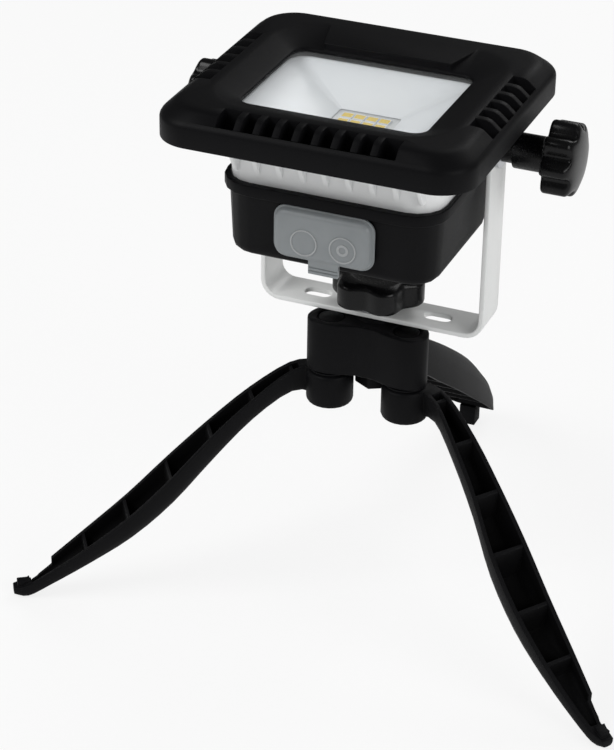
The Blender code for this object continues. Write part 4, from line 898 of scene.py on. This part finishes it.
front = frame_low.y + VENT_FROM_EDGE
for start, end in slot_spans(FRONT_ROW, FRONT_RIBS):
    low, high = (start, front, vent_low), (end, front + VENT_LENGTH, vent_high)
    cut_with(lamp_frame, block("slot_cutter", low, high))
outer = frame_high.x - VENT_FROM_EDGE
for side in (-1, 1):
    near, far = sorted((side * (outer - VENT_LENGTH), side * outer))
    for start, end in slot_spans(SIDE_ROW, SIDE_RIBS):
        low = (near, frame_middle.y + start, vent_low)
        high = (far, frame_middle.y + end, vent_high)
        cut_with(lamp_frame, block("slot_cutter", low, high))
print("frame with slots", len(lamp_frame.data.polygons), "faces")

# %% Shelf on the far side
SHELF_FAR, SHELF_NEAR = 29 * MM, 24 * MM
SHELF_FROM_WINDOW = 0.6 * MM
SHELF_FROM_EDGE = 11 * MM
SHELF_SINK = 0.4 * MM
NEAR_EDGE = 1 * MM
window_far = frame_middle.y + window_shift + window_half.y
shelf = block(
    "shelf",
    (-SHELF_FAR, window_far + SHELF_FROM_WINDOW, window_z - SHELF_SINK),
    (SHELF_FAR, frame_high.y - SHELF_FROM_EDGE, crest_z),
)
pick_edges(shelf, lambda a, b: max(a.y, b.y) < window_far + NEAR_EDGE)
bpy.ops.transform.resize(value=(SHELF_NEAR / SHELF_FAR, 1, 1))
close_edit()
soft_edges(shelf, width=0.5)
cut_with(lamp_frame, shelf, "UNION")
soft_edges(lamp_frame, width=0.25, segments=2, angle=40)
finished(lamp_frame, "front_bezel", casing_black)
print("lamp frame", len(lamp_frame.data.polygons), "faces")

# %% [markdown]
# ## Star knobs and clamp wheel
# Each knob is a moulded head with scooped flutes, a domed face and a round stem. Round cutters
# would leave ragged edges where a flute runs out under the dome, so a short cylinder is extruded
# ring by ring along the knob's profile instead. Each ring is a circle with flutes of a given
# depth, and the depth fades out where the dome begins. The clamp wheel is lower, stands on a
# short foot and has a shallow dish in its face.

# %% Rings with flutes
RING_POINTS = 96
FLUTE_SHARPNESS = 1.4
KNOB_SHARP = 40


def fluted_ring(radius, depth, z, count, phase):
    """Points of a circle with flutes, about the upright axis and sorted by their angle."""
    ring = []
    for index in range(RING_POINTS):
        angle = 2 * math.pi * (index + 0.5) / RING_POINTS - math.pi
        scoop = 0.5 + 0.5 * math.cos(count * (angle - phase))
        reach = (radius - depth * scoop**FLUTE_SHARPNESS) * MM
        ring.append(Vector((reach * math.cos(angle), reach * math.sin(angle), z * MM)))
    return ring


def turned_knob(name, foot_radius, foot_height, profile, count, phase):
    """A knob on its foot, from rows of radius, flute depth and height in millimetres."""
    middle = (0, 0, foot_height * MM / 2)
    knob = drum(name, middle, (0, 0, 1), foot_radius * MM, foot_height * MM, RING_POINTS)
    pick_faces(knob, upward)
    rings = [fluted_ring(radius, depth, z, count, phase) for radius, depth, z in profile]
    walk(knob, rings, capped=True)
    smooth(knob, KNOB_SHARP)
    return knob


print("a ring has", RING_POINTS, "points")

# %% Star knobs on both ends of the tilt axis
STAR_FOOT_RADIUS, STAR_FOOT_HEIGHT = 5, 4.3
STAR_LOBES = 8
STAR_PROFILE = [
    (6.1, 0, 4.3),
    (6.4, 0, 4.45),
    (6.5, 0, 4.8),
    (6.5, 0, 16.1),
    (6.9, 0, 16.5),
    (12.7, 2.5, 16.6),
    (13.3, 2.9, 16.75),
    (13.7, 3.2, 17.15),
    (13.88, 3.3, 17.7),
    (13.88, 3.3, 25.2),
    (13.7, 3.25, 25.7),
    (13.35, 2.95, 26.15),
    (12.8, 2.3, 26.6),
    (12.2, 1.5, 26.95),
    (11.4, 0.75, 27.3),
    (10.4, 0.25, 27.6),
    (9.2, 0, 27.9),
    (7.4, 0, 28.2),
    (5.2, 0, 28.42),
    (2.8, 0, 28.55),
    (0.8, 0, 28.58),
]
star_model = turned_knob(
    "star_knob",
    STAR_FOOT_RADIUS,
    STAR_FOOT_HEIGHT,
    STAR_PROFILE,
    STAR_LOBES,
    phase=math.pi / STAR_LOBES,
)


def star_knob(name, node, side):
    """A copy of the star knob on its seat, with its stem towards the bracket."""
    low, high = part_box(node)
    seat = Vector((low.x if side > 0 else high.x, (low.y + high.y) / 2, (low.z + high.z) / 2))
    knob = copy_of(star_model, name)
    knob.data.transform(Matrix.Translation(seat) @ Matrix.Rotation(side * math.pi / 2, 4, "Y"))
    return finished(knob, node, knob_black)


star_knob("left_star_knob", "tilt_knob_left", -1)
star_knob("right_star_knob", "tilt_knob_right", 1)
bpy.data.objects.remove(star_model, do_unlink=True)
print("star knobs ready")

# %% Clamp wheel under the case
CLAMP_FOOT_RADIUS, CLAMP_FOOT_HEIGHT = 10, 2.3
CLAMP_LOBES = 6
CLAMP_PROFILE = [
    (16.6, 2.6, 2.3),
    (17.3, 2.9, 2.45),
    (17.75, 3.1, 2.9),
    (17.9, 3.2, 3.6),
    (17.9, 3.2, 10.2),
    (17.75, 3.15, 10.8),
    (17.3, 3.0, 11.4),
    (16.6, 2.6, 11.9),
    (15.7, 2.0, 12.3),
    (14.6, 1.3, 12.6),
    (13.4, 0.7, 12.75),
    (11.6, 0.1, 12.78),
    (10.8, 0, 12.6),
    (10.2, 0, 12.0),
    (9.6, 0, 11.7),
    (5, 0, 11.6),
    (1, 0, 11.6),
]
clamp_wheel = turned_knob(
    "clamp_wheel",
    CLAMP_FOOT_RADIUS,
    CLAMP_FOOT_HEIGHT,
    CLAMP_PROFILE,
    CLAMP_LOBES,
    phase=math.pi / 2,
)
clamp_seat = (hub_axis.x, hub_axis.y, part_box("clamp_knob")[0].z)
clamp_wheel.data.transform(Matrix.Translation(clamp_seat))
finished(clamp_wheel, "clamp_knob", knob_black)
print("clamp wheel ready")

# %% [markdown]
# ## The charging flap
# The flap is a soft silicone moulding: a thin flange that lies on the case, a raised pad with
# drafted sides, two thin raised rings that mark the jack and the button, and a ribbed tab to
# pull. Insets and extrusions of one block give the flange and pad in the order that the mould
# would fill.

# %% Flap body
FLAP_HEIGHT = 19.9 * MM
FLAP_CORNER, FLAP_CORNER_STEPS = 5 * MM, 8
FLANGE = 0.9 * MM
DEPTH_EDGE = 0.5 * MM
PAD_UNDER = 0.5 * MM
PAD_DISH = 0.12 * MM
# Each row is how far the pad draws in and how far it rises, in millimetres.
PAD_STEPS = [(0.7, 0), (0.25, 1.3), (0.35, 0.6), (0.6, 0.45)]
PAD_LAST = 0.9 * MM
flap_low, flap_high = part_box("port_cover")
flap_bottom = flap_high.z - FLAP_HEIGHT
flange_front = flap_high.y - FLANGE
pad_front = flap_low.y + PAD_UNDER
charging_flap = block("charging_flap", (flap_low.x, flange_front, flap_bottom), flap_high)
pick_edges(charging_flap, lambda a, b: abs(a.y - b.y) > DEPTH_EDGE)
bpy.ops.mesh.bevel(offset=FLAP_CORNER, segments=FLAP_CORNER_STEPS, affect="EDGES")
pick_faces(charging_flap, forward)
for draw_in, rise in PAD_STEPS:
    bpy.ops.mesh.inset(thickness=draw_in * MM, depth=rise * MM)
risen = sum(rise for _, rise in PAD_STEPS) * MM
bpy.ops.mesh.inset(thickness=PAD_LAST, depth=flange_front - risen - pad_front)
bpy.ops.mesh.inset(thickness=PAD_LAST, depth=-PAD_DISH)
close_edit()
print("flap pad", len(charging_flap.data.polygons), "faces")

# %% Tab under the flap
TAB_LEFT, TAB_RIGHT = -4.9 * MM, 6.3 * MM
TAB_SET_BACK = 0.6 * MM
TAB_OFF_CASE = 1.0 * MM
TAB_OVERLAP = 2 * MM
# Each row is where a groove starts and ends over the tab's lower edge, in millimetres.
GROOVES = [(1.0, 1.5), (2.3, 2.8)]
GROOVE_DEPTH = 0.5 * MM
tab = block(
    "tab",
    (TAB_LEFT, pad_front + TAB_SET_BACK, flap_low.z),
    (TAB_RIGHT, flap_high.y - TAB_OFF_CASE, flap_bottom + TAB_OVERLAP),
)
edit_all(tab)
for height in (edge for groove in GROOVES for edge in groove):
    bpy.ops.mesh.select_all(action="SELECT")
    bpy.ops.mesh.bisect(plane_co=(0, 0, flap_low.z + height * MM), plane_no=(0, 0, 1))


def in_groove(middle, normal):
    height = (middle.z - flap_low.z) / MM
    return forward(middle, normal) and any(start < height < end for start, end in GROOVES)


pick_faces(tab, in_groove)
bpy.ops.mesh.extrude_region_move(TRANSFORM_OT_translate={"value": (0, GROOVE_DEPTH, 0)})
close_edit()
cut_with(charging_flap, tab, "UNION")
soft_edges(charging_flap, width=0.22, segments=2, angle=40)
finished(charging_flap, "port_cover", silicone)
print("flap", len(charging_flap.data.polygons), "faces")

# %% Raised rings over the jack and the button
MARK_RISE = 1.2 * MM
JACK_SHIFT, BUTTON_SHIFT = 1.9 * MM, 1.1 * MM
RING_RADIUS, RING_WIDTH, RING_RISE = 5 * MM, 0.5 * MM, 0.3 * MM
DOT_RADIUS, DOT_WIDTH, DOT_RISE = 2.2 * MM, 0.9 * MM, 0.25 * MM
MARK_POINTS = 64
RING_DRAFT = 0.08 * MM
RING_FLOOR_SHARE = 1.6
jack_low, jack_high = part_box("charging_jack")
button_low, button_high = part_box("power_button")
port_z = (button_low.z + button_high.z) / 2 + MARK_RISE
jack_x = (jack_low.x + jack_high.x) / 2 + JACK_SHIFT
button_x = (button_low.x + button_high.x) / 2 + BUTTON_SHIFT
face_y = pad_front + PAD_DISH


def ring_on_flap(name, x, radius, width, rise):
    """A raised ring whose floor lies just under the face of the flap."""
    middle = (x, face_y, port_z)
    ring = drum(name, middle, (0, -1, 0), radius, 2 * rise, MARK_POINTS)
    pick_faces(ring, forward)
    bpy.ops.mesh.inset(thickness=width, depth=0)
    bpy.ops.mesh.inset(thickness=RING_DRAFT, depth=-rise * RING_FLOOR_SHARE)
    close_edit()
    soft_edges(ring, width=0.06, segments=2)
    dressed(ring, "port_cover", thick_silicone)


ring_on_flap("jack_ring", jack_x, RING_RADIUS, RING_WIDTH, RING_RISE)
ring_on_flap("button_ring", button_x, RING_RADIUS, RING_WIDTH, RING_RISE)
ring_on_flap("button_dot", button_x, DOT_RADIUS, DOT_WIDTH, DOT_RISE)
print("rings ready")

# %% [markdown]
# ## Diodes
# The board is a white plate with three rows of four diodes. A diode is a white case with a
# shallow well that is filled with yellow phosphor. One case and one filling are modelled and
# copied to each place.

# %% Board and one diode
DIODE = Vector((4.2, 4.0, 0.8)) * MM
CASE_RIM, CASE_DRAFT, WELL_DEPTH = 0.22 * MM, 0.12 * MM, 0.35 * MM
FILLING_INSIDE, FILLING_LOW, FILLING_UNDER = 0.3, 0.4, 0.08
FILLING_STEP, FILLING_CROWN = 0.3 * MM, 0.05 * MM
board_low, board_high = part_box("led_board")
board_middle = (board_low + board_high) / 2
board_top = board_high.z - DIODE.z
diode_board = block("diode_board", board_low, (board_high.x, board_high.y, board_top))
soft_edges(diode_board, width=0.2, segments=2)
finished(diode_board, "led_board", board_mask)
corner = Vector((board_middle.x - DIODE.x / 2, board_middle.y - DIODE.y / 2, board_top))
diode_case = block("diode_case", corner, corner + DIODE)
pick_faces(diode_case, upward)
bpy.ops.mesh.inset(thickness=CASE_RIM, depth=0)
bpy.ops.mesh.inset(thickness=CASE_DRAFT, depth=-WELL_DEPTH)
close_edit()
soft_edges(diode_case, width=0.05, segments=2)
filling_low = corner + Vector((FILLING_INSIDE, FILLING_INSIDE, FILLING_LOW)) * MM
filling_high = corner + DIODE - Vector((FILLING_INSIDE, FILLING_INSIDE, FILLING_UNDER)) * MM
filling = block("diode_filling", filling_low, filling_high)
pick_faces(filling, upward)
bpy.ops.mesh.inset(thickness=FILLING_STEP, depth=FILLING_CROWN)
close_edit()
soft_edges(filling, width=0.08, segments=2)
print("one diode of", len(diode_case.data.polygons) + len(filling.data.polygons), "faces")

# %% Copies of the diode in rows
COLUMNS, COLUMN_STEP = 4, 4.65 * MM
ROWS, ROW_STEP = 3, 5.2 * MM
places = [
    ((column - (COLUMNS - 1) / 2) * COLUMN_STEP, (row - (ROWS - 1) / 2) * ROW_STEP, 0)
    for row in range(ROWS)
    for column in range(COLUMNS)
]
for model, finish in ((diode_case, board_mask), (filling, phosphor)):
    for number, place in enumerate(places, 1):
        twin = copy_of(model, f"{model.name}_{number}")
        twin.data.transform(Matrix.Translation(place))
        dressed(twin, "led_board", finish)
    bpy.data.objects.remove(model, do_unlink=True)
print(len(places), "diodes on the board")

# %% [markdown]
# ## Small hardware
# Washers are punched, the bolt, pins, studs and inserts are turned, the button is moulded, and
# gaskets are cut from sheet. They are simple rings and rods that the CAD model already has, so
# they only need a soft edge, which is narrow on a thin washer and wider on a turned pin.

# %% Each small piece with the width of its edge in millimetres
small = {
    "tilt_washer_left": 0.2,
    "tilt_washer_right": 0.2,
    "friction_washer_left": 0.15,
    "friction_washer_right": 0.15,
    "clamp_washer": 0.2,
    "hub_bolt": 0.4,
    "leg_pin_left": 0.3,
    "leg_pin_right": 0.3,
    "leg_pin_rear": 0.3,
    "leg_washer_left": 0.12,
    "leg_washer_right": 0.12,
    "leg_washer_rear": 0.12,
    "pivot_insert_left": 0.3,
    "pivot_insert_right": 0.3,
    "tilt_stud_left": 0.3,
    "tilt_stud_right": 0.3,
    "power_button": 0.3,
    "lens_gasket": 0.15,
    "rear_gasket": 0.15,
}
for node, width in small.items():
    softened(node, "soft_" + node, width, segments=2)
print(len(small), "small pieces ready")

# %% [markdown]
# ## Pieces inside the case
# The cells, boards and leads are shut away in the closed light, and of the screws only the heads
# show from below. They could be modelled finely, but they are small or never seen, so they keep
# the CAD mesh and take the finish of their slot.

# %% Finishes on the CAD meshes that are still shown
inside = [node for node, piece in nodes.items() if not piece.hide_render]
for node in inside:
    paint(nodes[node], finish_of_slot[slot_of_node[node]])
print(len(inside), "inside pieces painted")

# %% [markdown]
# ## Sizes
# The looks must stay within the CAD size, because the joints and the collision come from the
# CAD model.

# %% End of the scene
print("scene script done")
